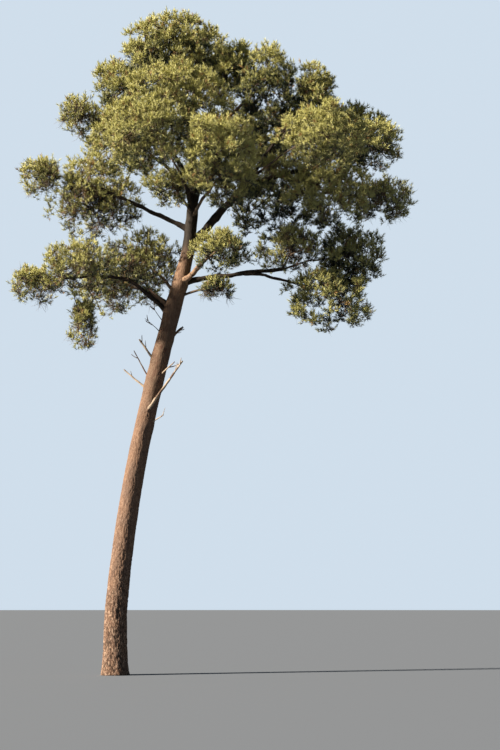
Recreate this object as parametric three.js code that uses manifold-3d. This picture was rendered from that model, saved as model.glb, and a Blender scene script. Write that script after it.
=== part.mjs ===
// A tall, leaning Scots pine rooted in level ground: a bare, gently curved trunk with a flared foot, a fork of
// two leaders at about two thirds of its height, tapering boughs, dead branch stubs below the crown, and a
// broad, domed crown of separate needle masses. Millimetres, +Z up, origin at the middle of the trunk's foot.

import * as THREE from "three";
import { mergeVertices } from "three/addons/utils/BufferGeometryUtils.js";
import Module from "manifold-3d";

const wasm = await Module();
wasm.setup();

// Driving sizes
const CLEARANCE = 0.3; // gap between a limb and the limb that carries it
const LIMB_MARGIN = 105; // how far needles stay from a limb that isn't their own
const LIMB_SAMPLE = 90; // how far apart the points are at which a limb's nearness is felt
const SPACE_MARGIN = 0.07; // how far needles stay inside their mass's own space, as a share of its reach
const GOLDEN_ANGLE = Math.PI * (3 - Math.sqrt(5));

// How many sides and rings the sections of each kind of limb have.
const FACETS = {
  trunk: { sides: 12, rings: 19 },
  bough: { sides: 6, rings: 4 },
  dead: { sides: 5, rings: 3 },
  stem: { sides: 4, rings: 3 },
  twig: { sides: 3, rings: 1 },
};

// The flared foot: five shallow root buttresses that fade out a little above the ground.
const FLARE = { share: 0.2, fades: 330, lobes: 5, lobeDepth: 0.3, turned: 0.9 };

// The trunk's line and thickness: sway is to the right, depth is away from the viewer.
const TRUNK = [
  { height: 0, sway: 0, depth: 0, diameter: 590 },
  { height: 200, sway: 0, depth: 0, diameter: 585 },
  { height: 500, sway: 0, depth: 2, diameter: 575 },
  { height: 1000, sway: 0, depth: 5, diameter: 565 },
  { height: 1800, sway: 25, depth: 20, diameter: 540 },
  { height: 3600, sway: 215, depth: 70, diameter: 512 },
  { height: 5500, sway: 510, depth: 130, diameter: 474 },
  { height: 7600, sway: 960, depth: 170, diameter: 448 },
  { height: 9000, sway: 1305, depth: 160, diameter: 414 },
  { height: 10000, sway: 1560, depth: 128, diameter: 368 },
  { height: 10800, sway: 1735, depth: 92, diameter: 300 },
  { height: 12000, sway: 1835, depth: 60, diameter: 246 },
  { height: 13300, sway: 1800, depth: 80, diameter: 176 },
  { height: 14700, sway: 1560, depth: 60, diameter: 96 },
];

// Boughs: each leaves the trunk at a height, or another bough at a share of its length, and reaches out to a
// bearing (0 right, 90 away from the viewer, 180 left). Span holds how far out and how far up its tip is, arch
// how far its middle rises above the straight line between its ends, and girth its diameter at root and tip.
const BOUGHS = [
  { name: "upper_left", on: "trunk", at: 11180, to: 178, span: [2450, 1170], arch: 20, girth: [130, 80] },
  { name: "lower_left", on: "trunk", at: 8940, to: 182, span: [1120, 980], arch: 60, girth: [130, 96] },
  { name: "lower_left_end", on: "lower_left", at: 0.97, to: 181, span: [1650, 20], arch: 70, girth: [92, 60] },
  { name: "lower_left_rear", on: "trunk", at: 9120, to: 140, span: [1500, 820], arch: 120, girth: [130, 84] },
  { name: "leader_right", on: "trunk", at: 10680, to: 3, span: [1650, 1950], arch: 20, girth: [236, 170] },
  { name: "right", on: "trunk", at: 9830, to: 358, span: [2700, 330], arch: 30, girth: [146, 92] },
  { name: "right_under", on: "right", at: 0.6, to: 350, span: [1350, -330], arch: 50, girth: [92, 62] },
  { name: "right_stub", on: "trunk", at: 9780, to: 312, span: [880, 400], arch: -20, girth: [160, 116] },
  { name: "left_high", on: "trunk", at: 12500, to: 187, span: [1350, 1500], arch: 60, girth: [120, 76] },
  { name: "front_left", on: "trunk", at: 11750, to: 262, span: [1650, 420], arch: 60, girth: [130, 84] },
  { name: "back", on: "trunk", at: 11500, to: 80, span: [1700, 1900], arch: 40, girth: [130, 84] },
  { name: "back_left", on: "trunk", at: 12150, to: 138, span: [1500, 1300], arch: 60, girth: [116, 76] },
  { name: "right_far", on: "leader_right", at: 0.82, to: 356, span: [1950, 520], arch: 90, girth: [150, 96] },
  { name: "right_high", on: "leader_right", at: 0.9, to: 8, span: [950, 1450], arch: 0, girth: [130, 84] },
  { name: "front_right", on: "leader_right", at: 0.7, to: 298, span: [1500, 320], arch: 90, girth: [130, 80] },
  { name: "back_right", on: "leader_right", at: 0.6, to: 64, span: [1900, 1000], arch: 90, girth: [130, 80] },
];

// Dead, broken branches on the bare trunk. Forward is how far in front of the trunk's middle one starts.
const DEAD_BRANCHES = [
  { name: "long", on: "trunk", at: 6480, forward: 190, to: 352, span: [900, 1260], arch: 0, girth: [84, 40] },
  { name: "right_mid", on: "trunk", at: 7250, forward: 150, to: 350, span: [530, 490], arch: 0, girth: [48, 24] },
  { name: "right_top", on: "trunk", at: 8270, to: 5, span: [470, 410], arch: 0, girth: [84, 60] },
  { name: "right_low", on: "trunk", at: 6090, to: 335, span: [560, 300], arch: 0, girth: [44, 26] },
  { name: "left_low", on: "trunk", at: 6980, to: 175, span: [720, 610], arch: -10, girth: [62, 30] },
  { name: "left_mid", on: "trunk", at: 7180, to: 190, span: [510, 870], arch: -30, girth: [44, 22] },
  { name: "left_top", on: "trunk", at: 7680, to: 168, span: [510, 690], arch: 0, girth: [64, 44] },
];

// Needle masses: heart is the middle of a mass's space and reach its half sizes to the right, away and up. Its
// stem leaves its bough near the tip, or the trunk at a height. Dense masses have a core, thin ones don't. A
// mass that little of is seen, or that is small, has fewer sprays and twigs.
const DENSE_MASSES = [
  { name: "top", on: "trunk", heart: [1350, 0, 16110], reach: [1310, 1260, 1060] },
  { name: "top_left", on: "trunk", at: 14250, heart: [680, -300, 15730], reach: [790, 1140, 940] },
  { name: "top_right", on: "trunk", at: 14150, heart: [2860, 300, 15530], reach: [1010, 1140, 920] },
  { name: "top_back", on: "trunk", at: 13900, heart: [1940, 1600, 16070], reach: [1450, 1320, 1290] },
  { name: "top_front", on: "trunk", at: 13600, heart: [1490, -1800, 14000], reach: [1480, 1320, 1160],
    sprays: 9 },
  { name: "centre_high", on: "trunk", at: 13150, heart: [3690, 0, 14990], reach: [1040, 1500, 1230] },
  { name: "left_high", on: "left_high", heart: [10, 0, 14990], reach: [890, 1320, 920] },
  { name: "left_mid", on: "left_high", heart: [350, -800, 13500], reach: [1030, 1320, 990] },
  { name: "front_left", on: "front_left", heart: [890, -2500, 13000], reach: [1210, 1320, 1020],
    sprays: 9 },
  { name: "back_left", on: "back_left", heart: [-40, 2300, 14270], reach: [1370, 1440, 1150], sprays: 9 },
  { name: "front", on: "trunk", at: 12350, heart: [2510, -2900, 12450], reach: [1110, 1440, 950], sprays: 9 },
  { name: "back", on: "back", heart: [2910, 3200, 14320], reach: [1880, 1560, 1540], sprays: 9 },
  { name: "right_high", on: "right_high", heart: [4950, 100, 14810], reach: [640, 1440, 760] },
  { name: "right_high_tip", on: "right_high", heart: [5920, 500, 13890], reach: [1140, 1320, 820] },
  { name: "right_front", on: "front_right", heart: [5070, -2500, 12850], reach: [1160, 1440, 920], sprays: 9 },
  { name: "right_back", on: "back_right", heart: [4820, 2500, 14190], reach: [1800, 1560, 1530] },
  { name: "right_far", on: "right_far", heart: [6290, -300, 13330], reach: [980, 1320, 760] },
  { name: "right_mid", on: "right_far", heart: [5390, -900, 11800], reach: [1210, 1260, 1040] },
  { name: "centre_low", on: "leader_right", heart: [3980, 700, 12300], reach: [1400, 1440, 1420] },
  { name: "right_low", on: "right", heart: [5810, 200, 10470], reach: [1060, 1200, 1140] },
  { name: "right_hanging", on: "right_under", heart: [5330, 0, 9480], reach: [1270, 1140, 1090] },
];
const THIN_MASSES = [
  { name: "left_high_tip", on: "left_high", from: 0.9, heart: [-1060, 300, 14300], reach: [780, 1140, 530] },
  { name: "lobe_left", on: "trunk", at: 11600, heart: [1350, -800, 12070], reach: [750, 900, 520],
    sprays: 7, twigs: 2 },
  { name: "front_low", on: "trunk", at: 11500, heart: [2560, -1700, 11990], reach: [1020, 1140, 680] },
  { name: "right_far_low", on: "right_far", from: 0.9, heart: [6720, 300, 12060], reach: [1000, 1200, 690] },
  { name: "upper_left_tip", on: "upper_left", heart: [-1980, 0, 12610], reach: [760, 960, 610] },
  { name: "upper_left", on: "upper_left", heart: [-960, 200, 12230], reach: [1280, 1200, 1300] },
  { name: "upper_left_rear", on: "upper_left", heart: [-490, 1300, 12260], reach: [1050, 1140, 1140] },
  { name: "lower_left_tip", on: "lower_left_end", heart: [-2160, 0, 9780], reach: [760, 900, 610] },
  { name: "lower_left", on: "lower_left_end", heart: [-1020, -500, 10050], reach: [1220, 1320, 930] },
  { name: "lower_left_hanging", on: "lower_left_end", heart: [-940, 100, 8860], reach: [430, 780, 950] },
  { name: "lower_left_inner", on: "trunk", at: 9500, heart: [530, 700, 10450], reach: [1300, 1200, 1160] },
  { name: "lower_left_rear", on: "lower_left_rear", heart: [-250, 1700, 10150], reach: [1420, 1320, 1020] },
  { name: "fork_front", on: "right_stub", heart: [2530, -700, 10460], reach: [820, 840, 640] },
  { name: "right_small", on: "trunk", at: 9420, heart: [2450, -100, 9630], reach: [630, 600, 400],
    sprays: 5, twigs: 2 },
  { name: "right_bough", on: "right", heart: [4380, -300, 10610], reach: [1030, 1020, 820] },
];

// How a mass grows. Shares are of its reach, unless they say otherwise.
const DENSE = { sprays: 11, twigs: 2, twigReach: 0.7, core: 0.42, leastCore: 0.15, sprayRoot: 0.3 };
const THIN = { sprays: 9, twigs: 3, twigReach: 0.5, knotRadius: 110 };
const STEM = { leaves: 0.97, share: 0.62, base: 24, slender: 80, taper: 0.6, past: 0.3, arch: 0.05 };
const TWIG = { radius: 20, tipRadius: 12, arch: 0.04, margin: 60, from: 0.5, middle: 0.75, spread: 0.3 };
const SPRAY = { widest: 0.85, aspect: 1.2, thickness: 0.045, sunk: 45, shortest: 0.5, step: 0.06 };

// Every limb and mass under its full name.
for (const bough of BOUGHS) bough.name = `bough_${bough.name}`;
for (const branch of DEAD_BRANCHES) branch.name = `dead_branch_${branch.name}`;
const MASSES = [
  ...DENSE_MASSES.map((mass) => ({ ...DENSE, dense: true, ...mass, name: `needles_${mass.name}` })),
  ...THIN_MASSES.map((mass) => ({ ...THIN, dense: false, ...mass, name: `needles_${mass.name}` })),
];
for (const limb of [...BOUGHS, ...DEAD_BRANCHES, ...MASSES]) {
  if (limb.on !== "trunk") limb.on = `bough_${limb.on}`;
}

// Geometry helpers

const vec = (x, y, z) => new THREE.Vector3(x, y, z);

// A small seeded generator, so that the tree grows the same way every time.
function seeded(seed) {
  let state = seed >>> 0;
  return () => {
    state = (state + 0x6d2b79f5) >>> 0;
    let t = Math.imul(state ^ (state >>> 15), state | 1);
    t = (t + Math.imul(t ^ (t >>> 7), t | 61)) ^ t;
    return ((t ^ (t >>> 14)) >>> 0) / 4294967296;
  };
}

// A limb's line: from root to tip, with its middle raised by arch.
function archedLine(root, tip, arch) {
  const middle = root.clone().add(tip).multiplyScalar(0.5);
  middle.z += 2 * arch;
  return new THREE.QuadraticBezierCurve3(root, middle, tip);
}

// The horizontal direction square to a line's chord: a limb's sections turn about it.
function sideOf(root, tip) {
  const side = vec(root.y - tip.y, tip.x - root.x, 0);
  return side.length() < 1 ? vec(0, 1, 0) : side.normalize();
}

// A three.js shape of about unit size with its seams joined, so that it can be bent and still be closed.
function closedShape(geometry) {
  geometry.deleteAttribute("normal");
  geometry.deleteAttribute("uv");
  return mergeVertices(geometry, 1e-4);
}

// A closed tapering limb: a cylinder bent along its line, with radius(t, angle) in place of its own radius.
// Grown adds to the radius and to both ends.
function limbGeometry({ line, side, radius, kind }, grown = 0) {
  const { sides, rings } = FACETS[kind];
  const geometry = closedShape(new THREE.CylinderGeometry(1, 1, 1, sides, rings));
  const place = geometry.getAttribute("position");
  for (let i = 0; i < place.count; i++) {
    const t = THREE.MathUtils.clamp(place.getY(i) + 0.5, 0, 1);
    const across = Math.hypot(place.getX(i), place.getZ(i));
    const angle = Math.atan2(place.getZ(i), place.getX(i));
    const tangent = line.getTangent(t);
    const other = side.clone().cross(tangent).normalize();
    const r = across * (radius(t, angle) + grown);
    const point = line.getPoint(t).addScaledVector(side, -r * Math.sin(angle));
    point.addScaledVector(other, r * Math.cos(angle));
    if (t === 0) point.addScaledVector(tangent, -grown);
    if (t === 1) point.addScaledVector(tangent, grown);
    place.setXYZ(i, point.x, point.y, point.z);
  }
  return geometry;
}

// A geometry as a solid that can be joined and cut.
function solidOf(geometry) {
  const made = new wasm.Manifold(
    new wasm.Mesh({
      numProp: 3,
      vertProperties: new Float32Array(geometry.getAttribute("position").array),
      triVerts: new Uint32Array(geometry.index.array),
    }),
  );
  if (made.volume() <= 0) throw new Error("a solid is inside out");
  return made;
}

// The largest piece of a solid, as a geometry: scraps and sealed hollows are left out.
function geometryOf(solid) {
  const pieces = solid.decompose().sort((a, b) => b.volume() - a.volume());
  const mesh = pieces[0].getMesh();
  const places = new Float32Array(mesh.numVert * 3);
  for (let i = 0; i < mesh.numVert; i++) {
    places.set(mesh.vertProperties.subarray(i * mesh.numProp, i * mesh.numProp + 3), i * 3);
  }
  const geometry = new THREE.BufferGeometry();
  geometry.setAttribute("position", new THREE.BufferAttribute(places, 3));
  geometry.setIndex(new THREE.BufferAttribute(new Uint32Array(mesh.triVerts), 1));
  geometry.computeVertexNormals();
  return geometry;
}

// Limbs

// Every limb by name. A limb has its line, the direction its sections turn about, its radius along the line,
// its kind, and the name of the limb it stands on.
const limbs = new Map();

function trunkLimb() {
  const points = TRUNK.map((p) => vec(p.sway, p.depth, p.height));
  const line = new THREE.CatmullRomCurve3(points, false, "catmullrom", 0.5);
  const last = TRUNK.length - 1;
  const radius = (t, angle) => {
    const i = Math.min(Math.floor(t * last), last - 1);
    const diameter = THREE.MathUtils.lerp(TRUNK[i].diameter, TRUNK[i + 1].diameter, t * last - i);
    const height = line.getPoint(t).z;
    const lobes = 1 + FLARE.lobeDepth * Math.cos(FLARE.lobes * angle + FLARE.turned);
    return (diameter / 2) * (1 + FLARE.share * lobes * Math.exp(-Math.max(height, 0) / FLARE.fades));
  };
  return { line, side: vec(0, 1, 0), radius, kind: "trunk" };
}

// The point of the trunk's line that is at a height, found by halving.
function trunkPointAt(height) {
  const { line } = limbs.get("trunk");
  let low = 0;
  let high = 1;
  while (high - low > 1e-9) {
    const middle = (low + high) / 2;
    if (line.getPoint(middle).z < height) low = middle;
    else high = middle;
  }
  return line.getPoint(low);
}

function limbBetween(root, tip, arch, radius, kind, on) {
  return { line: archedLine(root, tip, arch), side: sideOf(root, tip), radius, kind, on };
}

function branchLimb({ on, at, forward = 0, to, span, arch, girth }, kind) {
  const angle = THREE.MathUtils.degToRad(to);
  const [out, up] = span;
  const root = on === "trunk" ? trunkPointAt(at) : limbs.get(on).line.getPoint(at);
  root.y -= forward;
  const tip = root.clone().add(vec(out * Math.cos(angle), out * Math.sin(angle), up));
  return limbBetween(root, tip, arch, (t) => THREE.MathUtils.lerp(girth[0], girth[1], t) / 2, kind, on);
}

// A limb or a mass is cut off a little clear of the limb that carries it.
function clearOfCarrier(solid, on) {
  return solid.subtract(solidOf(limbGeometry(limbs.get(on), CLEARANCE)));
}

// Masses

// Where a point lies in a mass's space: 0 at its heart and 1 at its edge.
function depthIn(mass, point) {
  const [x, y, z] = mass.heart;
  const [right, away, tall] = mass.reach;
  return Math.hypot((point.x - x) / right, (point.y - y) / away, (point.z - z) / tall);
}

// A point belongs to the mass whose heart is nearest, by the masses' own reach.
function inOwnSpace(mass, point) {
  const own = depthIn(mass, point);
  if (own > 1) return false;
  return MASSES.every((other) => other === mass || depthIn(other, point) > own + SPACE_MARGIN);
}

// A limb felt as balls along its line, and whether a point keeps its distance from a list of such balls.
function ballsOf(limb) {
  const count = Math.ceil(limb.line.getLength() / LIMB_SAMPLE);
  return Array.from({ length: count + 1 }, (_, i) => ({
    middle: limb.line.getPoint(i / count),
    radius: limb.radius(i / count, 0),
  }));
}

function clearOf(balls, point, distance) {
  return balls.every(({ middle, radius }) => {
    const far = radius + distance;
    return Math.abs(middle.z - point.z) > far || middle.distanceToSquared(point) > far * far;
  });
}

// The balls of all limbs but a mass's own stem that reach into the mass's surroundings.
function ballsNear(mass) {
  const heart = vec(...mass.heart);
  const far = Math.max(...mass.reach) + 2 * LIMB_MARGIN;
  const others = [...limbs].filter(([name]) => name !== mass.name);
  const balls = others.flatMap(([, limb]) => ballsOf(limb));
  return balls.filter(({ middle, radius }) => middle.distanceTo(heart) < far + radius);
}

const inReach = (mass, direction, share) =>
  vec(...mass.heart).add(vec(...mass.reach).multiply(direction).multiplyScalar(share));

// A mass's stem: from the limb that carries it, through the heart and a little on.
function stemLimb(mass) {
  const heart = vec(...mass.heart);
  const carrier = limbs.get(mass.on);
  const root = mass.at === undefined ? carrier.line.getPoint(mass.from ?? STEM.leaves) : trunkPointAt(mass.at);
  const onward = heart.clone().sub(root).normalize();
  const [right, away, tall] = mass.reach;
  const past = STEM.past / Math.hypot(onward.x / right, onward.y / away, onward.z / tall);
  const head = heart.clone().addScaledVector(onward, past);
  const length = head.distanceTo(root);
  const thick = mass.at === undefined ? carrier.radius(1, 0) * STEM.share : STEM.base + length / STEM.slender;
  return limbBetween(root, head, STEM.arch * length, (t) => thick * (1 - STEM.taper * t), "stem", mass.on);
}

// Even directions over the sphere, turned by phase.
function evenDirections(count, phase) {
  return Array.from({ length: count }, (_, k) => {
    const z = 1 - (2 * k + 1) / count;
    const flat = Math.sqrt(1 - z * z);
    const angle = k * GOLDEN_ANGLE + phase;
    return vec(flat * Math.cos(angle), flat * Math.sin(angle), z);
  });
}

// The twigs of a mass leave its stem and fan out into its space: the further forward, the nearer its head.
function twigLimbs(mass, stem, balls, random) {
  const onward = stem.line.getPoint(1).sub(stem.line.getPoint(0)).normalize();
  const twigs = evenDirections(mass.twigs, 2 * Math.PI * random()).map((direction) => {
    const share = TWIG.middle + TWIG.spread * direction.dot(onward);
    const root = stem.line.getPoint(THREE.MathUtils.clamp(share, TWIG.from, STEM.leaves));
    const tip = inReach(mass, direction, mass.twigReach);
    const radius = (t) => THREE.MathUtils.lerp(TWIG.radius, TWIG.tipRadius, t);
    return limbBetween(root, tip, TWIG.arch * tip.distanceTo(root), radius, "twig");
  });
  return twigs.filter((twig) => {
    const outer = [0.4, 0.5, 0.6, 0.7, 0.8, 0.9, 1].map((t) => twig.line.getPoint(t));
    return outer.every((p) => inOwnSpace(mass, p) && clearOf(balls, p, TWIG.margin));
  });
}

// A spray's outline: each point's share of its length, of its half width, and of its length out of its plane.
// It has a root, then three teeth with a notch between each and the next.
const SPRAY_OUTLINE = [
  [0, 0, 0],
  [0.48, 1, 0.16],
  [0.6, 0.3, 0],
  [1, 0.22, -0.12],
  [0.6, -0.34, 0],
  [0.66, -1, 0.1],
];
const SPRAY_MIDDLE = 0.42; // where the spray is thickest, as a share of its length

// A spray's frame: where its root is, and the directions along, across and through it.
function sprayFrame(root, tip, roll, width) {
  const along = tip.clone().sub(root);
  const length = along.length();
  along.normalize();
  const level = Math.abs(along.z) > 0.95 ? vec(1, 0, 0) : vec(0, 0, 1);
  const across = along.clone().cross(level).normalize().applyAxisAngle(along, roll);
  const through = across.clone().cross(along);
  return { root, along, across, through, length, width };
}

function sprayPoint(frame, share, side, lift) {
  return frame.root
    .clone()
    .addScaledVector(frame.along, share * frame.length)
    .addScaledVector(frame.across, (side * frame.width) / 2)
    .addScaledVector(frame.through, lift * frame.length);
}

// Points spread over a spray, close enough together to tell whether it touches anything.
function sprayProbes(frame) {
  return SPRAY_OUTLINE.flatMap(([share, side, lift]) =>
    [0.35, 0.7, 1.02].map((way) =>
      sprayPoint(frame, SPRAY_MIDDLE + way * (share - SPRAY_MIDDLE), way * side, way * lift),
    ),
  ).slice(1);
}

// A toothed blade of needles: two low pyramids on one outline.
function sprayGeometry(frame) {
  const geometry = closedShape(new THREE.SphereGeometry(1, SPRAY_OUTLINE.length, 2));
  const place = geometry.getAttribute("position");
  for (let i = 0; i < place.count; i++) {
    const pole = Math.round(place.getY(i));
    let point = sprayPoint(frame, SPRAY_MIDDLE, 0, (pole * SPRAY.thickness) / 2);
    if (pole === 0) {
      const turn = Math.atan2(place.getZ(i), -place.getX(i)) / (2 * Math.PI);
      const tooth = Math.round((turn + 1) * SPRAY_OUTLINE.length) % SPRAY_OUTLINE.length;
      point = sprayPoint(frame, ...SPRAY_OUTLINE[tooth]);
      if (tooth === 0) point.addScaledVector(frame.along, -SPRAY.sunk);
    }
    place.setXYZ(i, point.x, point.y, point.z);
  }
  return geometry;
}

// The largest spray in a direction that keeps to its mass's space and off the limbs, or null where none does:
// it is made narrower first, and then shorter.
function fittingSpray(mass, direction, twig, roll, balls) {
  const mean = (mass.reach[0] + mass.reach[1] + mass.reach[2]) / 3;
  for (let share = 1; share > SPRAY.shortest; share -= SPRAY.step) {
    const root = twig ? twig.line.getPoint(1) : inReach(mass, direction, share * DENSE.sprayRoot);
    const tip = inReach(mass, direction, share);
    const widest = Math.min(SPRAY.widest * mean, SPRAY.aspect * tip.distanceTo(root));
    for (const slim of [1, 0.75, 0.5]) {
      const frame = sprayFrame(root, tip, roll, slim * widest);
      if (sprayProbes(frame).every((p) => inOwnSpace(mass, p) && clearOf(balls, p, LIMB_MARGIN))) return frame;
    }
  }
  return null;
}

// The sprays of a mass reach to the edge of its space, evenly on all sides: from its core where it is dense,
// and from the nearest twig's knot where it isn't. One that doesn't fit at all is left out.
function sprayFrames(mass, twigs, balls, random) {
  const directions = evenDirections(mass.sprays, 2 * Math.PI * random());
  const frames = directions.map((direction) => {
    const edge = inReach(mass, direction, 1);
    const toEdge = (twig) => twig.line.getPoint(1).distanceTo(edge);
    const nearest = [...twigs].sort((a, b) => toEdge(a) - toEdge(b))[0];
    return fittingSpray(mass, direction, mass.dense ? null : nearest, Math.PI * random(), balls);
  });
  return frames.filter((frame) => frame !== null);
}

// A dense mass has a small faceted core round its heart, drawn in where it would leave its space or touch a
// limb.
function coreGeometry(mass, balls) {
  const geometry = closedShape(new THREE.IcosahedronGeometry(1, 0));
  const place = geometry.getAttribute("position");
  const fits = (p) => inOwnSpace(mass, p) && clearOf(balls, p, LIMB_MARGIN);
  for (let i = 0; i < place.count; i++) {
    const direction = vec(place.getX(i), place.getY(i), place.getZ(i));
    let share = DENSE.core;
    while (share > DENSE.leastCore && !fits(inReach(mass, direction, share))) share -= SPRAY.step / 2;
    const point = inReach(mass, direction, share);
    place.setXYZ(i, point.x, point.y, point.z);
  }
  return geometry;
}

// In a thin mass each twig ends in a knot of buds that its sprays stand out of.
function knotGeometry(twig) {
  const { x, y, z } = twig.line.getPoint(1);
  return closedShape(new THREE.OctahedronGeometry(THIN.knotRadius, 0)).translate(x, y, z);
}

// A whole mass as one solid, grown by its own seed.
function massSolid(mass, seed) {
  const random = seeded(seed);
  const balls = ballsNear(mass);
  const stem = limbs.get(mass.name);
  const twigs = twigLimbs(mass, stem, balls, random);
  const geometries = [limbGeometry(stem), ...twigs.map((twig) => limbGeometry(twig))];
  geometries.push(...sprayFrames(mass, twigs, balls, random).map(sprayGeometry));
  if (mass.dense) geometries.push(coreGeometry(mass, balls));
  else geometries.push(...twigs.map(knotGeometry));
  const whole = geometries.map(solidOf).reduce((joined, piece) => joined.add(piece));
  return clearOfCarrier(whole, mass.on);
}

// Colours

const finish = (color, roughness) => new THREE.MeshStandardMaterial({ color, roughness, metalness: 0 });
const MATERIALS = {
  trunk: finish(0x7a5f4e, 0.95),
  bough: finish(0x6b4f3d, 0.9),
  dead: finish(0xa08f7a, 0.85),
  needles: finish(0x6f7a2c, 0.7),
};

// The tree

function nodeOf(name, solid, material) {
  const mesh = new THREE.Mesh(geometryOf(solid), material);
  mesh.name = name;
  return mesh;
}

function buildTree() {
  limbs.set("trunk", trunkLimb());
  for (const bough of BOUGHS) limbs.set(bough.name, branchLimb(bough, "bough"));
  for (const branch of DEAD_BRANCHES) limbs.set(branch.name, branchLimb(branch, "dead"));
  for (const mass of MASSES) limbs.set(mass.name, stemLimb(mass));

  const tree = new THREE.Group();
  tree.add(nodeOf("trunk", solidOf(limbGeometry(limbs.get("trunk"))), MATERIALS.trunk));
  for (const { name, on } of [...BOUGHS, ...DEAD_BRANCHES]) {
    const limb = limbs.get(name);
    tree.add(nodeOf(name, clearOfCarrier(solidOf(limbGeometry(limb)), on), MATERIALS[limb.kind]));
  }
  MASSES.forEach((mass, i) => {
    tree.add(nodeOf(mass.name, massSolid(mass, i + 1), MATERIALS.needles));
  });
  return tree;
}

export default buildTree();
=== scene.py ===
"""A tall, leaning Scots pine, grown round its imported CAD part: plated bark, bleached dead branches, and a
crown of twigs and needles that grow on by the CAD source's rule. Laid out as an add-on and run as a script.
Lengths are in metres where nothing else is said."""

import math

import bmesh
import bpy
import numpy as np
from bpy.props import FloatProperty, FloatVectorProperty, IntProperty, PointerProperty
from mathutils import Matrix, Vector, noise


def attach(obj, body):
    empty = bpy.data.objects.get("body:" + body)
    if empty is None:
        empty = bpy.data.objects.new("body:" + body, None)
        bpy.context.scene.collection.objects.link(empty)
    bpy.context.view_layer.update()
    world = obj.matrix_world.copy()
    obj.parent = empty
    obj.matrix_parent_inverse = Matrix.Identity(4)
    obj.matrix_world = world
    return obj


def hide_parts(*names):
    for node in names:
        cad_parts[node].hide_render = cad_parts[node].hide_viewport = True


bl_info = {
    "name": "Leaning Scots pine",
    "version": (1, 0, 0),
    "blender": (4, 5, 0),
    "location": "3D View > Sidebar > Pine",
    "description": "Bark, dead branches, twigs and needles of a leaning pine",
    "category": "Add Mesh",
}

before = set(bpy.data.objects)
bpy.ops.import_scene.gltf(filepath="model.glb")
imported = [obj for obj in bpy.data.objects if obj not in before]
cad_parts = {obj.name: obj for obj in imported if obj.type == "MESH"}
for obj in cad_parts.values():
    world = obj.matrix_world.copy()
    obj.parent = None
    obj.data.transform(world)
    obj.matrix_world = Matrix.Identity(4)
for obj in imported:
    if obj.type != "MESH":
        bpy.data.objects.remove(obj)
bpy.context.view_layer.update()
BODY = "root"
MM = 0.001
UP = np.array([0.0, 0.0, 1.0])
TURN = 2 * math.pi
GOLDEN_ANGLE = math.pi * (3 - math.sqrt(5))

# The source's tables, in millimetres and degrees

# The trunk's line and thickness: height, sway to the right, depth away from the viewer, diameter.
TRUNK = [
    (0, 0, 0, 590),
    (200, 0, 0, 585),
    (500, 0, 2, 575),
    (1000, 0, 5, 565),
    (1800, 25, 20, 540),
    (3600, 215, 70, 512),
    (5500, 510, 130, 474),
    (7600, 960, 170, 448),
    (9000, 1305, 160, 414),
    (10000, 1560, 128, 368),
    (10800, 1735, 92, 300),
    (12000, 1835, 60, 246),
    (13300, 1800, 80, 176),
    (14700, 1560, 60, 96),
]
FLARE = {"share": 0.2, "fades": 0.33, "lobes": 5, "lobe_depth": 0.3, "turned": 0.9}

# Limbs: name, what carries it, where on it (a height on the trunk, a share of a bough), bearing, how far out
# and up the tip is, how far the middle rises, and the diameters at root and tip. A last number is how far
# forward it starts.
BOUGHS = [
    ("upper_left", "trunk", 11180, 178, (2450, 1170), 20, (130, 80)),
    ("lower_left", "trunk", 8940, 182, (1120, 980), 60, (130, 96)),
    ("lower_left_end", "lower_left", 0.97, 181, (1650, 20), 70, (92, 60)),
    ("lower_left_rear", "trunk", 9120, 140, (1500, 820), 120, (130, 84)),
    ("leader_right", "trunk", 10680, 3, (1650, 1950), 20, (236, 170)),
    ("right", "trunk", 9830, 358, (2700, 330), 30, (146, 92)),
    ("right_under", "right", 0.6, 350, (1350, -330), 50, (92, 62)),
    ("right_stub", "trunk", 9780, 312, (880, 400), -20, (160, 116)),
    ("left_high", "trunk", 12500, 187, (1350, 1500), 60, (120, 76)),
    ("front_left", "trunk", 11750, 262, (1650, 420), 60, (130, 84)),
    ("back", "trunk", 11500, 80, (1700, 1900), 40, (130, 84)),
    ("back_left", "trunk", 12150, 138, (1500, 1300), 60, (116, 76)),
    ("right_far", "leader_right", 0.82, 356, (1950, 520), 90, (150, 96)),
    ("right_high", "leader_right", 0.9, 8, (950, 1450), 0, (130, 84)),
    ("front_right", "leader_right", 0.7, 298, (1500, 320), 90, (130, 80)),
    ("back_right", "leader_right", 0.6, 64, (1900, 1000), 90, (130, 80)),
]
DEAD_BRANCHES = [
    ("long", "trunk", 6480, 352, (900, 1260), 0, (84, 40), 190),
    ("right_mid", "trunk", 7250, 350, (530, 490), 0, (48, 24), 150),
    ("right_top", "trunk", 8270, 5, (470, 410), 0, (84, 60)),
    ("right_low", "trunk", 6090, 335, (560, 300), 0, (44, 26)),
    ("left_low", "trunk", 6980, 175, (720, 610), -10, (62, 30)),
    ("left_mid", "trunk", 7180, 190, (510, 870), -30, (44, 22)),
    ("left_top", "trunk", 7680, 168, (510, 690), 0, (64, 44)),
]
# Small dead wood below the crown that the source leaves out: a broken limb and thin twigs.
BROKEN = [
    ("broken", "trunk", 9130, 172, (640, 560), -30, (130, 90)),
    ("twig_1", "trunk", 8390, 207, (570, 460), 20, (24, 10)),
    ("twig_2", "trunk", 8620, 214, (560, 610), 30, (24, 9)),
]

# Side twigs on a dead limb, where there is more than one
SPURS = {"long": 4, "left_top": 2, "right_top": 2, "twig_1": 3, "twig_2": 4}
# How much of its bark a dead limb has left, where it isn't the usual
BARKED = {"left_mid": 0.9, "right_top": 0.9, "long": 0.55, "right_mid": 0.5, "twig_1": 0.9, "twig_2": 0.9}
USUALLY_BARKED = 0.25

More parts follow.
